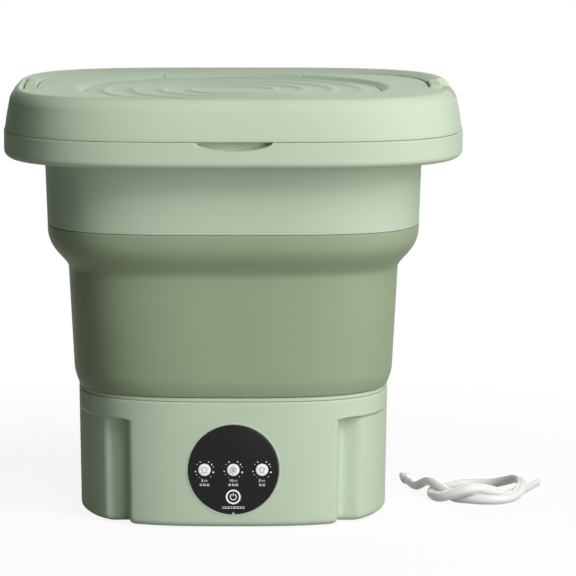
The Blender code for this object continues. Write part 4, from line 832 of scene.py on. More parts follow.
def shoulder(first, last, count, power=1.45):
    """Inset and drop of a rounded shoulder: a quarter superellipse between two (inset, drop) points."""
    share = np.linspace(0, 1, count)
    inward = 1 - (1 - share ** power) ** (1 / power)
    return list(zip(first[0] + (last[0] - first[0]) * inward, first[1] + (last[1] - first[1]) * share))


def lid_moulding():
    """Lid: rows of (inset, drop) from the skirt over the rim to the panel, then rings of the rippled dish.

    The dish is a smooth step down plus, at each ring, a cubed raised cosine, less a short bell-shaped crease at
    each side of the dish; the underside is plain.
    """
    angles = stepped_angles(ARM_END_Y - HANDLE_SIDE_GAP, GROOVE_START_Y, NOTCH_Y)
    lift = np.arcsin(np.sin(angles))
    rear = lift > side_angle(ARM_END_Y - HANDLE_SIDE_GAP)
    groove = lift > side_angle(GROOVE_START_Y)
    notch = (np.cos(angles) > 0) & (lift > side_angle(NOTCH_Y)) & ~rear
    height = LID_TOP - LID_BOTTOM
    skirt = [(0.5 * MM, height), (0.12 * MM, height - 0.15 * MM)]
    skirt += [(SKIRT_TOP_INSET * t ** 1.3,
               height - (height - SKIRT_TOP_DROP) * t) for t in np.linspace(0.03, 1, 10)]
    rim = shoulder((SKIRT_TOP_INSET, SKIRT_TOP_DROP), (RIM_CREST_INSET, 0), 16)[1:]
    rim += [(RIM_CREST_INSET + 0.8 * MM, 0.05 * MM), (GROOVE_OUTER_INSET - 0.9 * MM, 0.4 * MM),
            (GROOVE_OUTER_INSET - 0.45 * MM, 1.1 * MM)]
    rows = np.array(skirt + rim)
    inset, drop = rows[:, :1], rows[:, 1:]
    lowered = np.where(notch, np.maximum(drop, NOTCH_DROP), drop)
    drop = np.where(rear, np.maximum(drop, SHELF_DROP), lowered)
    grid = [around(angles, plan_radius(angles, LID_HALF_WIDTH, inset), LID_TOP - drop)]
    floor = np.where(groove, SHELF_DROP, PANEL_DROP)
    inner = np.where(groove, GROOVE_INNER_INSET, 17.6 * MM)
    lip = np.where(groove, PANEL_DROP + 0.5 * MM, PANEL_DROP)
    for inset, drop in ((GROOVE_OUTER_INSET, floor), (inner, floor),
                        (np.maximum(inner, PANEL_INSET - 0.55 * MM), lip),
                        (PANEL_INSET + 0.1 * MM, PANEL_DROP)):
        grid.append(around(angles, plan_radius(angles, LID_HALF_WIDTH, inset), LID_TOP - drop)[None])
    share = np.linspace(0, 1, 9)[1:, None]
    edge = plan_radius(angles, LID_HALF_WIDTH, PANEL_INSET + 0.1 * MM)
    radius = edge + (DISH_RADIUS + DISH_SLOPE - edge) * share
    grid.append(around(angles, radius, LID_TOP - PANEL_DROP))
    crease = DISH_RADIUS + CREASE_FROM_DISH
    radius = np.concatenate([np.linspace(DISH_RADIUS + DISH_SLOPE, DISH_RADIUS, 12)[1:], crease + CREASE_ROWS,
                             np.arange(DISH_RADIUS / MM - 1, 0.5, -1.0) * MM, [0]])
    radius = np.sort(radius)[::-1, None]
    dip = DISH_DEPTH * (1 - smooth_step(radius, DISH_RADIUS, DISH_RADIUS + DISH_SLOPE))
    wave = 0.5 + 0.5 * np.cos(2 * math.pi * (radius - RIPPLE_FIRST) / RIPPLE_PITCH)
    fade = smooth_step(radius, 14 * MM, 24 * MM) * (1 - smooth_step(radius, 100 * MM, 106 * MM))
    ripple = bpy.context.scene.washer_sizes.ripple_height * wave ** 3 * fade
    short = 1 - smooth_step(np.abs(np.sin(angles)), 0.14, 0.3)
    cut = CREASE_DEPTH * np.exp(-((radius - crease) / CREASE_WIDTH) ** 2) * short
    grid.append(around(angles, radius, LID_TOP - PANEL_DROP - dip + ripple - cut))
    under_shelf = LID_TOP - SHELF_DROP - LID_WALL
    under_panel = LID_TOP - PANEL_DROP - DISH_DEPTH - LID_WALL
    grid.append(np.broadcast_to([0, 0, under_panel], (1, len(angles), 3)))
    for inset, z in ((PANEL_INSET + LID_WALL, under_panel), (PANEL_INSET + LID_WALL, under_shelf),
                     (SKIRT_TOP_INSET + LID_WALL, under_shelf), (LID_WALL, LID_BOTTOM)):
        grid.append(around(angles, plan_radius(angles, LID_HALF_WIDTH, inset), z)[None])
    lid = surface("lid_moulding", np.concatenate(grid), True)
    vents = [rod("vent", VENT_RADIUS, 20 * MM, (x, VENT_PLACE[1], LID_TOP - 15 * MM), sides=32)
             for x in (-VENT_PLACE[0], VENT_PLACE[0])]
    combine(lid, vents)
    return dress(lid, shell_plastic(), "lid", ["lid_shell"], 32)


def lid_underside():
    """Liner and seal: two outlines carried round the plan, the liner closed at its centre."""
    angles = plan_angles()
    flange = LID_BOTTOM + 3.2 * MM
    bottom = low("lid_liner").z
    plug = plan_radius(angles, BAND_TOP_HALF_WIDTH, np.array([[4.2 * MM], [6.2 * MM]]))
    edge = plan_radius(angles, LID_HALF_WIDTH, 3.63 * MM)
    centre = np.zeros_like(edge)
    rows = [(centre, bottom + 2 * MM), (plug[1], bottom + 2 * MM), (plug[1], flange + 2 * MM),
            (edge, flange + 2 * MM),
            (edge, flange), (plug[0], flange), (plug[0], bottom + 0.9 * MM), (plug[0] - 0.25 * MM, bottom + 0.3 * MM),
            (plug[0] - 0.9 * MM, bottom), (centre, bottom)]
    liner = surface("liner_moulding", np.stack([around(angles, radius, z) for radius, z in rows]))
    dress(liner, shell_plastic(), "lid", ["lid_liner"])
    seal_low, seal_high = low("lid_seal").z, high("lid_seal").z
    outline = eased([(-4.0 * MM, seal_low), (0.4 * MM, seal_low), (0.4 * MM, seal_high),
                     (-4.0 * MM, seal_high)],
                    0.6 * MM, 5)
    grid = around(angles, plan_radius(angles, BAND_TOP_HALF_WIDTH, outline[:, :1]), outline[:, 1:])
    dress(surface("seal_ring", grid, True), dark_rubber(), "lid", ["lid_seal"])


def handle_moulding():
    """Handle: one section carried round the back of the lid, that thins to a round-ended arm at each side."""
    half = HANDLE_THICKNESS / 2
    outer, inner = GROOVE_OUTER_INSET + HANDLE_SIDE_GAP, GROOVE_INNER_INSET - HANDLE_SIDE_GAP
    end = np.linspace(1.5, 0, 12)
    arm_y = -half * np.sin(end)
    y = np.concatenate([arm_y, np.linspace(2 * MM, ARM_END_Y - 0.2 * MM, 10),
                        ARM_END_Y + np.linspace(0.1, 2.2, 8) * MM])
    side = np.array([side_angle(v) for v in y])
    around_back = np.linspace(side[-1], math.pi / 2, 90)[1:]
    turn = np.concatenate([side, around_back])
    rise = np.full(len(turn), half)
    rise[:len(end)] = half * np.cos(end)
    wide = smooth_step(np.concatenate([y, np.full(len(around_back), 1.0)]), ARM_END_Y, ARM_END_Y + 2.2 * MM)
    count = 40
    share = np.linspace(0, 1, count)
    low_z = PIVOT_Z - half
    wide_shape = np.array([(3.4 * MM, low_z), (3.3 * MM, low_z + 0.4 * MM), (3.6 * MM, LID_TOP - 8.2 * MM)]
                          + [(i, LID_TOP - d) for i, d in shoulder((3.7 * MM, 7.4 * MM), (RIM_CREST_INSET, 0), 14)]
                          + [(inner - 8 * MM, LID_TOP - 0.3 * MM), (inner - 5 * MM, LID_TOP - 1.1 * MM),
                             (inner - 2 * MM, LID_TOP - 2.1 * MM), (inner - 0.6 * MM, LID_TOP - 2.5 * MM),
                             (inner - 0.1 * MM, LID_TOP - 3.0 * MM),
                             (inner, low_z + 0.4 * MM), (inner - 0.4 * MM, low_z)])
    run = np.concatenate([[0], np.cumsum(np.linalg.norm(np.diff(wide_shape, axis=0), axis=1))])
    wide_inset, wide_height = [np.interp(share * run[-1], run, wide_shape[:, k]) for k in (0, 1)]
    turn_share = (share - 0.5) * 2
    arm_inset = outer + (inner - outer) * (0.5 + 0.5 * np.clip(turn_share * 1.9, -1, 1))
    arm_height = np.clip((1 - np.abs(turn_share)) * 4.2 - 1, -1, 1)
    arm_height = arm_height * (1 - 0.12 * smooth_step(np.abs(turn_share * 1.9), 0.75, 1.0))
    height = (PIVOT_Z + rise[:, None] * arm_height) * (1 - wide[:, None]) + wide_height * wide[:, None]
    inset = arm_inset * (1 - wide[:, None]) + wide_inset * wide[:, None]
    half_grid = around(turn[:, None], plan_radius(turn[:, None], LID_HALF_WIDTH, inset), height)
    mirrored = half_grid[-2::-1] * (-1, 1, 1)
    handle = surface("handle_moulding", np.concatenate([half_grid, mirrored]))
    start = LID_HALF_WIDTH - GROOVE_INNER_INSET - 5 * MM
    combine(handle, [rod("bore", 2.3 * MM, 24 * MM, (x, 0, PIVOT_Z), "X") for x in (start, -start - 24 * MM)])
    dress(handle, shell_plastic(), "handle", ["carry_handle"], 40)
    for node in ("handle_pin_right", "handle_pin_left"):
        lowest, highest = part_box(node)
        length, radius = highest.x - lowest.x, (highest.z - lowest.z) / 2
        pin = turned(node + "_turned", [(0, 0), (radius, 0), (radius, length), (0, length)],
                     (lowest.x, 0, PIVOT_Z), "X", 0.4 * MM)
        dress(pin, plated_steel(), "lid", [node])


# ---------------------------------------------------------------- control panel

def flat_strip(name, points, width, face_y, closed=False):
    """A printed line: a strip of even width along points (x, z) on a face, a few hundredths of a millimetre thick."""
    points = np.asarray(points, dtype=float)
    ahead = np.gradient(points, axis=0) if not closed else np.roll(points, -1, 0) - np.roll(points, 1, 0)
    ahead /= np.maximum(np.linalg.norm(ahead, axis=1), 1e-12)[:, None]
    side = np.stack([-ahead[:, 1], ahead[:, 0]], axis=1) * width / 2
    left, right = points + side, points - side
    section = [(left, face_y), (left, face_y - INK_LIFT), (right, face_y - INK_LIFT), (right, face_y)]
    grid = np.stack([np.stack([edge[:, 0], np.full(len(edge), y), edge[:, 1]],
                              axis=1) for edge, y in section], axis=1)
    return surface(name, grid, closed)


def arc(centre, radius, start, end, count):
    """Points on an arc, its angles in degrees from the right."""
    turn = np.radians(np.linspace(start, end, count))
    return np.stack([centre[0] + radius * np.cos(turn), centre[1] + radius * np.sin(turn)], axis=1)


def dot(centre, radius, face_y):
    """A printed dot."""
    return turned("dot", [(0, 0), (radius, 0), (radius, INK_LIFT), (0, INK_LIFT)],
                  (centre[0], face_y - INK_LIFT, centre[1]), "Y", 0, 16, 2)


DIGITS = {
    "0": [[(0, 0), (0, 2), (1, 2), (1, 0), (0, 0)]],
    "1": [[(0.2, 1.6), (0.6, 2), (0.6, 0)]],
    "2": [[(0, 2), (1, 2), (1, 1), (0, 1), (0, 0), (1, 0)]],
    "5": [[(1, 2), (0, 2), (0, 1), (1, 1), (1, 0), (0, 0)]],
}


def minutes(number, centre, width, face_y):
    """A dial number drawn in straight strokes, with two short bars after it."""
    scale, pitch = 0.85 * MM, 1.55 * MM
    start = centre[0] - (len(number) * pitch + 2.6 * MM) / 2
    strokes = []
    for place, digit in enumerate(number):
        for line in DIGITS[digit]:
            points = np.array(line) * scale + (start + place * pitch, centre[1] - scale)
            strokes.append(flat_strip("stroke", points, width * 0.8, face_y))
    after = start + len(number) * pitch + 0.2 * MM
    for offset, length in ((0, 0.9 * MM), (1.4 * MM, 0.9 * MM)):
        for level in (-0.45 * MM, 0.25 * MM):
            points = np.array([(after + offset, centre[1] + level),
                               (after + offset + length, centre[1] + level)])
            strokes.append(flat_strip("stroke", points, width * 0.7, face_y))
    return strokes


def bars(lengths, centre, gap, face_y, height=1.5 * MM):
    """A row of small plain blocks that stands in for a caption."""
    total = sum(lengths) + gap * (len(lengths) - 1)
    start = centre[0] - total / 2
    strips = []
    for length in lengths:
        for level in (-height * 0.32, height * 0.32):
            points = np.array([(start, centre[1] + level), (start + length, centre[1] + level)])
            strips.append(flat_strip("bar", points, height * 0.28, face_y))
        start += length + gap
    return strips


def shirt(centre, scale):
    """Outline of a plain short-sleeved shirt."""
    half = [(0.0, 0.72), (0.3, 0.85), (0.62, 0.95), (1.15, 0.45), (0.85, 0.1), (0.62, 0.3), (0.62, -0.95),
            (0, -0.95)]
    right = np.array(half)
    outline = np.concatenate([right, right[-2:0:-1] * (-1, 1)])
    return outline * scale + centre


def panel_print():
    """Marks on the panel: tick dots on a circle round each lamp, dial numbers, caption bars and a power sign."""
    width = bpy.context.scene.washer_sizes.ink_width
    face = PANEL_FACE_Y
    marks = []
    ticks = [(-15, 0.62), (20, 0.34), (38, 0.5), (62, 0.42), (118, 0.42), (142, 0.3), (190, 0.42),
             (212, 0.32), (236, 0.22), (-48, 0.34)]
    for number, x, caption in (("5", -LAMP_PITCH, (1.8, 1.8, 1.8)), ("10", 0, (1.8, 1.8, 1.8)),
                               ("2", LAMP_PITCH, (1.8, 1.8))):
        for angle, size in ticks:
            place = arc((x, PANEL_Z), 6.5 * MM, angle, angle, 1)[0]
            marks.append(dot(place, size * MM, face))
        marks += minutes(number, (x, PANEL_Z - 7.7 * MM), width, face)
        marks += bars([length * MM for length in caption], (x, PANEL_Z - 10.8 * MM), 0.7 * MM, face)
    marks += bars([n * MM for n in (0.9, 1.7, 1.7, 1.2, 1.7, 1.7, 1.7, 1.2)], (0, PANEL_Z - 27.2 * MM),
                  0.55 * MM, face, 1.6 * MM)
    dress(joined("panel_marks", marks), panel_ink(), "base")
    face = low("power_button").y
    ring = flat_strip("ring", arc((0, BUTTON_Z), 4.7 * MM, 0, 360, 65)[:-1], 1.25 * MM, face, True)
    sign = flat_strip("sign", arc((0, BUTTON_Z), 2.15 * MM, 122, 418, 40), 0.62 * MM, face)
    bar = flat_strip("sign_bar", [(0, BUTTON_Z + 0.7 * MM), (0, BUTTON_Z + 2.9 * MM)], 0.62 * MM, face)
    dress(joined("power_sign", [ring, sign, bar]), panel_ink(), "button")


def lamp_icons():
    """A simple sign on each lamp: a shirt, a six-petal flower and a smaller shirt."""
    face = low("lamp_lens_1").y
    icons = [flat_strip("shirt", shirt((-LAMP_PITCH, PANEL_Z), 2.05 * MM), 0.42 * MM, face, True),
             flat_strip("shirt", shirt((LAMP_PITCH, PANEL_Z), 1.9 * MM), 0.42 * MM, face, True)]
    for petal in range(0, 360, 60):
        centre = arc((0, PANEL_Z), 1.75 * MM, petal + 30, petal + 30, 1)[0]
        icons.append(flat_strip("petal", arc(centre, 0.8 * MM, 0, 360, 17)[:-1], 0.32 * MM, face, True))
    icons.append(flat_strip("eye", arc((0, PANEL_Z), 0.6 * MM, 0, 360, 17)[:-1], 0.3 * MM, face, True))
    dress(joined("lamp_icons", icons), icon_ink(), "base")


def panel_pieces():
    """Panel, lamps and button: turned solids with eased edges, the panel drilled for them and notched below."""
    thickness = high("panel_disc").y - PANEL_FACE_Y
    outline = [(0, 0), (PANEL_RADIUS - 0.5 * MM, 0), (PANEL_RADIUS, 0.5 * MM), (PANEL_RADIUS, thickness),
               (0, thickness)]
    disc = turned("panel_face", outline, (0, PANEL_FACE_Y, PANEL_Z), "Y", 0.25 * MM, 160)
    lamps = [-LAMP_PITCH, 0, LAMP_PITCH]
    cuts = [rod("hole", LAMP_RADIUS + 0.15 * MM, 6 * MM, (x, PANEL_FACE_Y - 2 * MM, PANEL_Z), "Y",
                64) for x in lamps]
    cuts.append(rod("hole", BUTTON_RADIUS + 0.25 * MM, 6 * MM, (0, PANEL_FACE_Y - 2 * MM, BUTTON_Z), "Y", 64))
    cuts.append(notch_wedge("notch", 3.4 * MM, 2.4 * MM, PANEL_FACE_Y - 2 * MM, PANEL_FACE_Y + 4 * MM))
    combine(disc, cuts)
    dress(disc, panel_acrylic(), "base", ["panel_disc"])
    key = notch_wedge("panel_key", 2.8 * MM, 2.0 * MM, PANEL_FACE_Y + 0.1 * MM, PANEL_FACE_Y + 1.7 * MM)
    dress(key, shell_plastic(), "base")
    for number, x in enumerate(lamps, 1):
        node = f"lamp_lens_{number}"
        lowest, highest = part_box(node)
        depth = highest.y - lowest.y
        flange = (highest.x - lowest.x) / 2
        lens = turned(f"lamp_{number}",
                      [(0, -0.12 * MM), (LAMP_RADIUS * 0.6, -0.08 * MM), (LAMP_RADIUS, 0.12 * MM),
                                         (LAMP_RADIUS, depth - 1 * MM), (flange, depth - 1 * MM), (flange, depth),
                                         (0, depth)], (x, lowest.y + 0.12 * MM, PANEL_Z), "Y", 0.2 * MM)
        dress(lens, lamp_plastic(), "base", [node])
    lowest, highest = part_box("power_button")
    depth = highest.y - lowest.y
    button = turned("button_cap", [(0, 0), (BUTTON_RADIUS, 0), (BUTTON_RADIUS, 2 * MM), (6.4 * MM, 2 * MM),
                                   (6.4 * MM, 3 * MM), (1.5 * MM, 3 * MM), (1.5 * MM, depth), (0, depth)],
                    (0, lowest.y, BUTTON_Z), "Y", 0.4 * MM)
    dress(button, panel_acrylic(), "button", ["power_button"])


def notch_wedge(name, width, height, front, back):
    """A small upright wedge at the panel's lowest point."""
    foot = PANEL_Z - PANEL_RADIUS - 0.6 * MM
    corners = np.array([(-width / 2, foot), (width / 2, foot), (width * 0.12, foot + height),
                        (-width * 0.12, foot + height)])
    grid = np.stack([np.stack([corners[:, 0], np.full(4, y), corners[:, 1]], axis=1) for y in (front, back)])
    return surface(name, grid)


# ---------------------------------------------------------------- pulsator, basket and drain

def pulsator_moulding():
    """Pulsator: rings whose heights rise and fall as six waves, round a hub with a screwed cap."""
    angles = np.linspace(0, 2 * math.pi, 240, endpoint=False)
    under = FLOOR_TOP + 3 * MM
    hub_top = low("pulsator_cap").z + 2.6 * MM - 0.3 * MM
    waves = 0.5 + 0.5 * np.cos(6 * angles)
    rows = [(4.3, hub_top, 0), (7.6, hub_top, 0), (8.3, hub_top - 0.5 * MM, 0), (10.5, hub_top - 3 * MM, 0.2),
            (14, under + 8.2 * MM, 1.4), (17.5, under + 6 * MM, 2.5), (24, under + 4.4 * MM, 3.6),
            (33, under + 3 * MM, 4.4), (42, under + 2.4 * MM, 4.5), (47, under + 2.6 * MM, 3.6),
            (51, under + 3 * MM, 2.5), (53.6, under + 4.8 * MM, 0.8), (55, under + 5.9 * MM, 0),
            (56, under + 5.4 * MM, 0), (56, under, 0), (13, under, 0), (13, FLOOR_TOP + 5.5 * MM, 0),
            (4.3, FLOOR_TOP + 5.5 * MM, 0)]
    grid = np.stack([around(angles, radius * MM, z + wave * MM * waves) for radius, z, wave in rows])
    dress(surface("pulsator_moulding", grid, True), shell_plastic(), "rotor", ["pulsator"], 45)
    bottom = low("pulsator_cap").z
    top = high("pulsator_cap").z - bottom
    cap = turned("pulsator_knob", [(0, 0), (4 * MM, 0), (4 * MM, 2.6 * MM), (8.5 * MM, 2.6 * MM),
                                   (8.5 * MM, top - 1 * MM),
                                   (6 * MM, top), (0, top)], (0, 0, bottom), ease=0.5 * MM)
    dress(cap, shell_plastic(), "rotor", ["pulsator_cap"])


def basket_moulding():
    """Spin basket: a turned cup with a rolled lip, and twelve round-topped windows cut in its wall."""
    bottom = low("spin_basket").z
    height = high("spin_basket").z - bottom
    outer, lip = 88 * MM, 91 * MM
    outline = [(0, 0), (outer - 4 * MM, 0), (outer, 4 * MM), (outer, height - 2 * MM), (lip, height - 2 * MM),
               (lip, height), (outer - 2 * MM, height), (outer - 2 * MM, 2 * MM), (0, 2 * MM)]
    basket = turned("basket_moulding", outline, (0, 0, bottom), ease=1.5 * MM, sides=160)
    cuts = []
    for number in range(12):
        turn = 2 * math.pi * (number + 0.5) / 12
        ahead, side = (np.array([math.cos(turn), math.sin(turn)]),
                       np.array([-math.sin(turn), math.cos(turn)]))
        reach = np.array([80, 96]) * MM
        ends = [arc((0, height * 0.7), 2 * MM, 0, 180, 9), arc((0, height * 0.3), 2 * MM, 180, 360, 9)]
        outline = np.concatenate(ends)
        grid = np.stack([np.column_stack([np.outer(outline[:, 0], side) + ahead * r, bottom + outline[:, 1]])
                         for r in reach])
        cuts.append(surface("window", grid))
    combine(basket, cuts)
    dress(basket, white_plastic(), "rotor", ["spin_basket"])


def drain_pieces():
    """Spout, its cap and the power inlet at the back of the base."""
    lowest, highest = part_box("drain_spout")
    x = (lowest.x + highest.x) / 2
    radius, bend = 6.5 * MM, 18 * MM
    z, y = lowest.z + radius, lowest.y + radius
    turn = np.linspace(0, math.pi / 2, 20)
    curve = np.column_stack([np.full(20, x), y + bend - bend * np.cos(turn), z + bend - bend * np.sin(turn)])
    path = np.concatenate([[(x, y, highest.z)], curve, [(x, highest.y, z)]])
    both = np.concatenate([path, path[::-1]])
    radii = np.concatenate([np.full(len(path), radius), np.full(len(path), radius - 2 * MM)])
    ahead = np.gradient(path, axis=0)
    ahead /= np.linalg.norm(ahead, axis=1)[:, None]
    across = np.concatenate([np.cross(ahead, (1, 0, 0)), np.cross(ahead, (1, 0, 0))[::-1]])
    ring = np.linspace(0, 2 * math.pi, 48, endpoint=False)[None, :, None]
    grid = both[:, None] + radii[:, None, None] * (np.cos(ring) * across[:, None] + np.sin(ring) * np.array([1, 0, 0]))
    dress(surface("spout_moulding", grid, True), white_plastic(), "base", ["drain_spout"])

    lowest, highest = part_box("drain_cap")
    length, radius = highest.y - lowest.y, (highest.x - lowest.x) / 2
    outline = [(6.8 * MM, 0), (radius - 0.3 * MM, 0), (radius - 0.3 * MM, 1.6 * MM), (radius, 2 * MM),
               (radius, length), (0, length), (0, length - 2 * MM), (6.8 * MM, length - 2 * MM)]
    cap = turned("spout_cap", outline, (x, lowest.y, z), "Y", 0.5 * MM, 72, closed=True)
    dress(cap, dark_rubber(), "drain_plug", ["drain_cap"])

    lowest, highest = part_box("dc_socket")
    x, z = (lowest.x + highest.x) / 2, (lowest.z + highest.z) / 2
    length, flange = highest.y - lowest.y, (highest.x - lowest.x) / 2
    outline = [(0, 0), (4.2 * MM, 0), (4.2 * MM, length - 1.4 * MM), (flange, length - 1.4 * MM),
               (flange, length),
               (2.8 * MM, length), (2.8 * MM, length - 10.5 * MM), (1.0 * MM, length - 10.5 * MM),
               (1.0 * MM, length - 2.5 * MM), (0, length - 2 * MM)]
    socket = turned("inlet_moulding", outline, (x, lowest.y, z), "Y", 0.25 * MM)
    dress(socket, black_plastic(), "base", ["dc_socket"])


# ---------------------------------------------------------------- hose

def smooth_route(points, count):
    """Evenly spaced points on a smooth curve through hand-chosen ones: a cubic between each pair."""
    points = np.array(points, dtype=float)
    padded = np.vstack([2 * points[0] - points[1], points, 2 * points[-1] - points[-2]])
    before, start, end, after = padded[:-3, None], padded[1:-2, None], padded[2:-1, None], padded[3:, None]
    t = np.linspace(0, 1, 24, endpoint=False)[None, :, None]
    fine = 0.5 * (2 * start + (end - before) * t + (2 * before - 5 * start + 4 * end - after) * t ** 2
                  + (3 * start - before - 3 * end + after) * t ** 3)
    fine = np.vstack([fine.reshape(-1, 3), points[-1]])
    run = np.concatenate([[0], np.cumsum(np.linalg.norm(np.diff(fine, axis=0), axis=1))])
    even = np.linspace(0, run[-1], count)
    return np.stack([np.interp(even, run, fine[:, axis]) for axis in range(3)], axis=1)


def hose_and_fitting():
    """Hose: a round tube carried along its route, its far end cut square and open, with a stepped fitting."""
    path = smooth_route(np.array(HOSE_ROUTE) * MM, HOSE_POINTS * 5)
    outer = HOSE_DIAMETER / 2
    inner_path = path[:-13:-1]
    whole = np.concatenate([path[:1], path, inner_path, inner_path[-1:]])
    ahead = np.gradient(path, axis=0)
    ahead /= np.linalg.norm(ahead, axis=1)[:, None]
    side = np.cross(ahead, (0, 0, 1))
    side /= np.linalg.norm(side, axis=1)[:, None]
    other = np.cross(side, ahead)
    side, other = [np.concatenate([v[:1], v, v[:-13:-1], v[-12:-11]]) for v in (side, other)]
    radii = np.concatenate([[0], np.full(len(path), outer), np.full(len(inner_path), HOSE_BORE), [0]])
    radii[1] = outer - 0.3 * MM
    radii[len(path)] = outer - 0.2 * MM
    ring = np.linspace(0, 2 * math.pi, 32, endpoint=False)[None, :, None]
    grid = whole[:, None] + radii[:, None, None] * (np.cos(ring) * side[:, None] + np.sin(ring) * other[:, None])
    hose = dress(surface("hose_tube", grid), hose_plastic(), "base", ["drain_hose"], 45)
    away = (path[0] - path[1]) / np.linalg.norm(path[0] - path[1])
    radius, length = 4.6 * MM, 11.0 * MM
    outline = eased([(0, 0), (radius, 0), (radius, length * 0.4), (radius * 0.74, length * 0.47),
                     (radius * 0.74, length * 0.94), (radius * 0.65, length), (radius * 0.43, length),
                     (radius * 0.43, length * 0.3), (0, length * 0.3)], 0.35 * MM, 4, False)
    spine = path[0] + away * (0.3 * MM + outline[:, 1:])
    across = np.cross(away, (0, 0, 1))
    across /= np.linalg.norm(across)
    upward = np.cross(across, away)
    grid = spine[:, None] + outline[:, :1, None] * (np.cos(ring) * across + np.sin(ring) * upward)
    fitting = dress(surface("hose_fitting", grid), hose_plastic(), "base", ["hose_adapter"])


# ---------------------------------------------------------------- carried-over nodes, stage

def inner_nodes():
    """Give each frame node that stays in view its own finish."""
    finishes = {
        plated_steel: ("motor_housing", "motor_bracket", "drive_shaft", "shaft_bearing", "board_screw_left",
                       "board_screw_right", "motor_screw_1", "motor_screw_2", "motor_screw_3", "motor_screw_4"),
        dark_rubber: ("shaft_seal",),
        circuit_board: ("control_board",),
        black_plastic: ("tact_switch",),
        white_plastic: ("switch_plunger",),
        wire_vinyl: ("dc_lead", "motor_lead"),
    }
    for finish, names in finishes.items():
        for name in names:
            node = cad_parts[name]
            node.data.materials.clear()
            node.data.materials.append(finish())


def camera():
    """A long lens in front of the washer, tilted down a little and shifted to take in the hose."""
    settings = bpy.context.scene.washer_stage
    data = bpy.data.cameras.new("front_camera")
    data.sensor_width = 36.0
    data.lens = settings.lens
    data.shift_x = settings.shift
    data.clip_end = 50
    eye = bpy.data.objects.new("front_camera", data)
    eye.location = (0, -settings.distance, settings.height)
    eye.rotation_euler = (math.pi / 2 - settings.pitch, 0, 0)
    bpy.context.scene.collection.objects.link(eye)
    bpy.context.scene.camera = eye


def soft_lamp(name, place, target, size, power):
    """A rectangular lamp that faces a target."""
    data = bpy.data.lights.new(name, "AREA")
    data.shape = "RECTANGLE"
    data.size, data.size_y = size
    data.energy = power
    lamp = bpy.data.objects.new(name, data)
    lamp.location = place
    lamp.rotation_euler = (Vector(target) - Vector(place)).to_track_quat("-Z", "Y").to_euler()
    bpy.context.scene.collection.objects.link(lamp)


def sees_white(tree):
    """A value that is one for camera, glossy and transmission rays, which meet the white background."""
    rays = add(tree, "ShaderNodeLightPath")
    seen = add(tree, "ShaderNodeMath", {"operation": "MAXIMUM"},
               {0: rays.outputs["Is Camera Ray"], 1: rays.outputs["Is Transmission Ray"]})
    seen = add(tree, "ShaderNodeMath", {"operation": "MAXIMUM"},
               {0: seen.outputs[0], 1: rays.outputs["Is Glossy Ray"]})
    return seen.outputs[0]


def studio_world():
    """A world that is plain white to the eye and in reflections, and a dim green-tinged light elsewhere."""
    world = bpy.data.worlds.new("studio")
    world.use_nodes = True
    tree = world.node_tree
    tree.nodes.clear()
    dim = add(tree, "ShaderNodeBackground", {"Color": (0.6, 1.0, 0.45, 1), "Strength": 0.05})
    white = add(tree, "ShaderNodeBackground", {"Color": (1, 1, 1, 1), "Strength": 1.0})
    mix = add(tree, "ShaderNodeMixShader", (), {0: sees_white(tree), 1: dim.outputs[0], 2: white.outputs[0]})
    add(tree, "ShaderNodeOutputWorld", (), {"Surface": mix.outputs[0]})
    return world


def stage():
    """A white floor that keeps a faint shadow near the washer, two key lamps at the right and soft fills."""
    scene = bpy.context.scene
    settings = scene.washer_stage
    scene.view_settings.view_transform = "Standard"
    middle_point = (0, 0, LAMP_AIM_HEIGHT)
    soft_lamp("key_high_lamp", (1.3, -1.3, 1.9), middle_point, (0.7, 1.6), settings.key)
    soft_lamp("key_low_lamp", (1.7, -1.7, 0.8), middle_point, (0.5, 1.8), settings.low_key)
    soft_lamp("front_lamp", (0.6, -1.65, 2.0), middle_point, (1.2, 0.8), settings.fill)
    soft_lamp("front_low_lamp", (0.9, -2.5, 0.12), (0, 0, 0.05), (1.4, 0.2), settings.low_fill)
    soft_lamp("back_lamp", (0.1, 2.4, 0.6), middle_point, (1.6, 1.2), settings.back)
    scene.world = studio_world()

    radius = np.array([0, 0.5, 1.0, 4.0, 30.0])[:, None]
    turn = np.linspace(0, 2 * math.pi, 64, endpoint=False)
    index = np.arange(len(radius) * 64).reshape(len(radius), 64)
    faces = np.stack([index[:-1], np.roll(index[:-1], -1, 1), np.roll(index[1:], -1, 1), index[1:]],
                     -1).reshape(-1, 4)
    mesh = bpy.data.meshes.new("studio_floor")
    mesh.from_pydata(around(turn, radius, np.zeros_like(radius)).reshape(-1, 3), [], faces[:, ::-1].tolist())
    bm = bmesh.new()
    bm.from_mesh(mesh)
    bmesh.ops.remove_doubles(bm, verts=bm.verts, dist=1e-6)
    bm.to_mesh(mesh)
    bm.free()
    floor = bpy.data.objects.new("studio_floor", mesh)
    scene.collection.objects.link(floor)
    floor.data.materials.append(floor_paint())


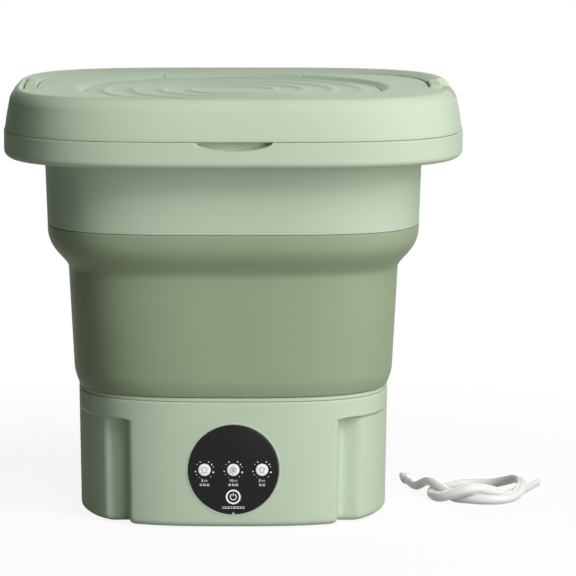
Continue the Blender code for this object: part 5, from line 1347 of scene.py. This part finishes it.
def floor_paint():
    """Matt white painted board: nine tenths of the brightness that is seen is its own, so shadows stay faint.

    The light that it throws back on the washer is that of a dimmer board.
    """
    made = bpy.data.materials.new("matt_white_paint")
    made.use_nodes = True
    tree = made.node_tree
    tree.nodes.clear()
    place = add(tree, "ShaderNodeTexCoord")
    away = add(tree, "ShaderNodeVectorMath", {"operation": "LENGTH"}, {0: place.outputs["Object"]})
    far = add(tree, "ShaderNodeMapRange", {"From Min": 0.25, "From Max": 0.6, "To Min": 0.9, "To Max": 1.0},
              {"Value": away.outputs["Value"]})
    seen = sees_white(tree)
    share = add(tree, "ShaderNodeMath", {"operation": "MULTIPLY"}, {0: seen, 1: far.outputs["Result"]})
    tone = add(tree, "ShaderNodeMix",
               {"data_type": "RGBA", 6: (0.35, 0.35, 0.35, 1), 7: (0.95, 0.95, 0.95, 1)}, {0: seen})
    paint = add(tree, "ShaderNodeBsdfDiffuse", (), {"Color": tone.outputs[2]})
    glow = add(tree, "ShaderNodeEmission", {"Color": (1, 1, 1, 1), "Strength": 1.0})
    mix = add(tree, "ShaderNodeMixShader", (), {0: share.outputs[0], 1: paint.outputs[0], 2: glow.outputs[0]})
    add(tree, "ShaderNodeOutputMaterial", (), {"Surface": mix.outputs[0]})
    return made


# ---------------------------------------------------------------- add-on

def washer_operator(name, label, text, *steps):
    """An operator class that runs some making steps and raises where one fails."""
    def execute(self, context):
        for step in steps:
            step()
        return {"FINISHED"}
    members = {"bl_idname": f"washer.{name}", "bl_label": label, "__doc__": text, "execute": execute,
               "bl_options": {"REGISTER", "UNDO"}}
    return type("WASHER_OT_" + name, (bpy.types.Operator,), members)


OPERATORS = [
    washer_operator("camera", "Camera", "Place the camera", camera),
    washer_operator("hose", "Drain hose", "Lay the hose and its fitting", hose_and_fitting),
    washer_operator("base", "Base", "Make the base housing, the tub floor, the bottom, feet and screws",
                    base_shell, panel_bead, tub_floor, base_underside),
    washer_operator("folding_wall", "Folding wall", "Make the soft folding wall", folding_wall),
    washer_operator("upper", "Band and collar", "Make the upper band and the collar", band_ring, collar_ring),
    washer_operator("lid", "Lid", "Make the lid, its liner and its seal", lid_moulding, lid_underside),
    washer_operator("handle", "Handle", "Make the carry handle and its pins", handle_moulding),
    washer_operator("panel", "Control panel", "Make the panel, lamps, button and print",
                    panel_pieces, panel_print, lamp_icons),
    washer_operator("tub", "Pulsator and basket", "Make the pulsator and the spin basket",
                    pulsator_moulding, basket_moulding),
    washer_operator("drain", "Drain and inlet", "Make the spout, its cap and the power inlet", drain_pieces),
    washer_operator("inner", "Inner pieces", "Finish the motor, board, leads and screws", inner_nodes),
    washer_operator("stage", "Stage", "Make the floor, the world and the lamps", stage),
]


class WASHER_PT_panel(bpy.types.Panel):
    """Lists the washer's settings and steps."""
    bl_idname = "WASHER_PT_panel"
    bl_label = "Washer"
    bl_space_type = "VIEW_3D"
    bl_region_type = "UI"
    bl_category = "Washer"

    def draw(self, context):
        """Show the settings, then one button for each step."""
        for group in (context.scene.washer_colours, context.scene.washer_sizes, context.scene.washer_stage):
            for name in group.bl_rna.properties.keys():
                if name not in ("rna_type", "name"):
                    self.layout.prop(group, name)
        for operator in OPERATORS:
            self.layout.operator(operator.bl_idname)


CLASSES = [WasherColours, WasherSizes, StageSettings, *OPERATORS, WASHER_PT_panel]


def register():
    """Register the settings, the steps and the panel."""
    for entry in CLASSES:
        bpy.utils.register_class(entry)
    bpy.types.Scene.washer_colours = bpy.props.PointerProperty(type=WasherColours)
    bpy.types.Scene.washer_sizes = bpy.props.PointerProperty(type=WasherSizes)
    bpy.types.Scene.washer_stage = bpy.props.PointerProperty(type=StageSettings)


def unregister():
    """Undo register."""
    del bpy.types.Scene.washer_stage, bpy.types.Scene.washer_sizes, bpy.types.Scene.washer_colours
    for entry in reversed(CLASSES):
        bpy.utils.unregister_class(entry)


def main():
    """Make the washer: register, run each step in order and write the two boxes."""
    register()
    for entry in OPERATORS:
        step = entry.bl_idname.split(".")[1]
        if getattr(bpy.ops.washer, step)() != {"FINISHED"}:
            raise RuntimeError(f"{step} did not finish")


if __name__ == "__main__":
    main()
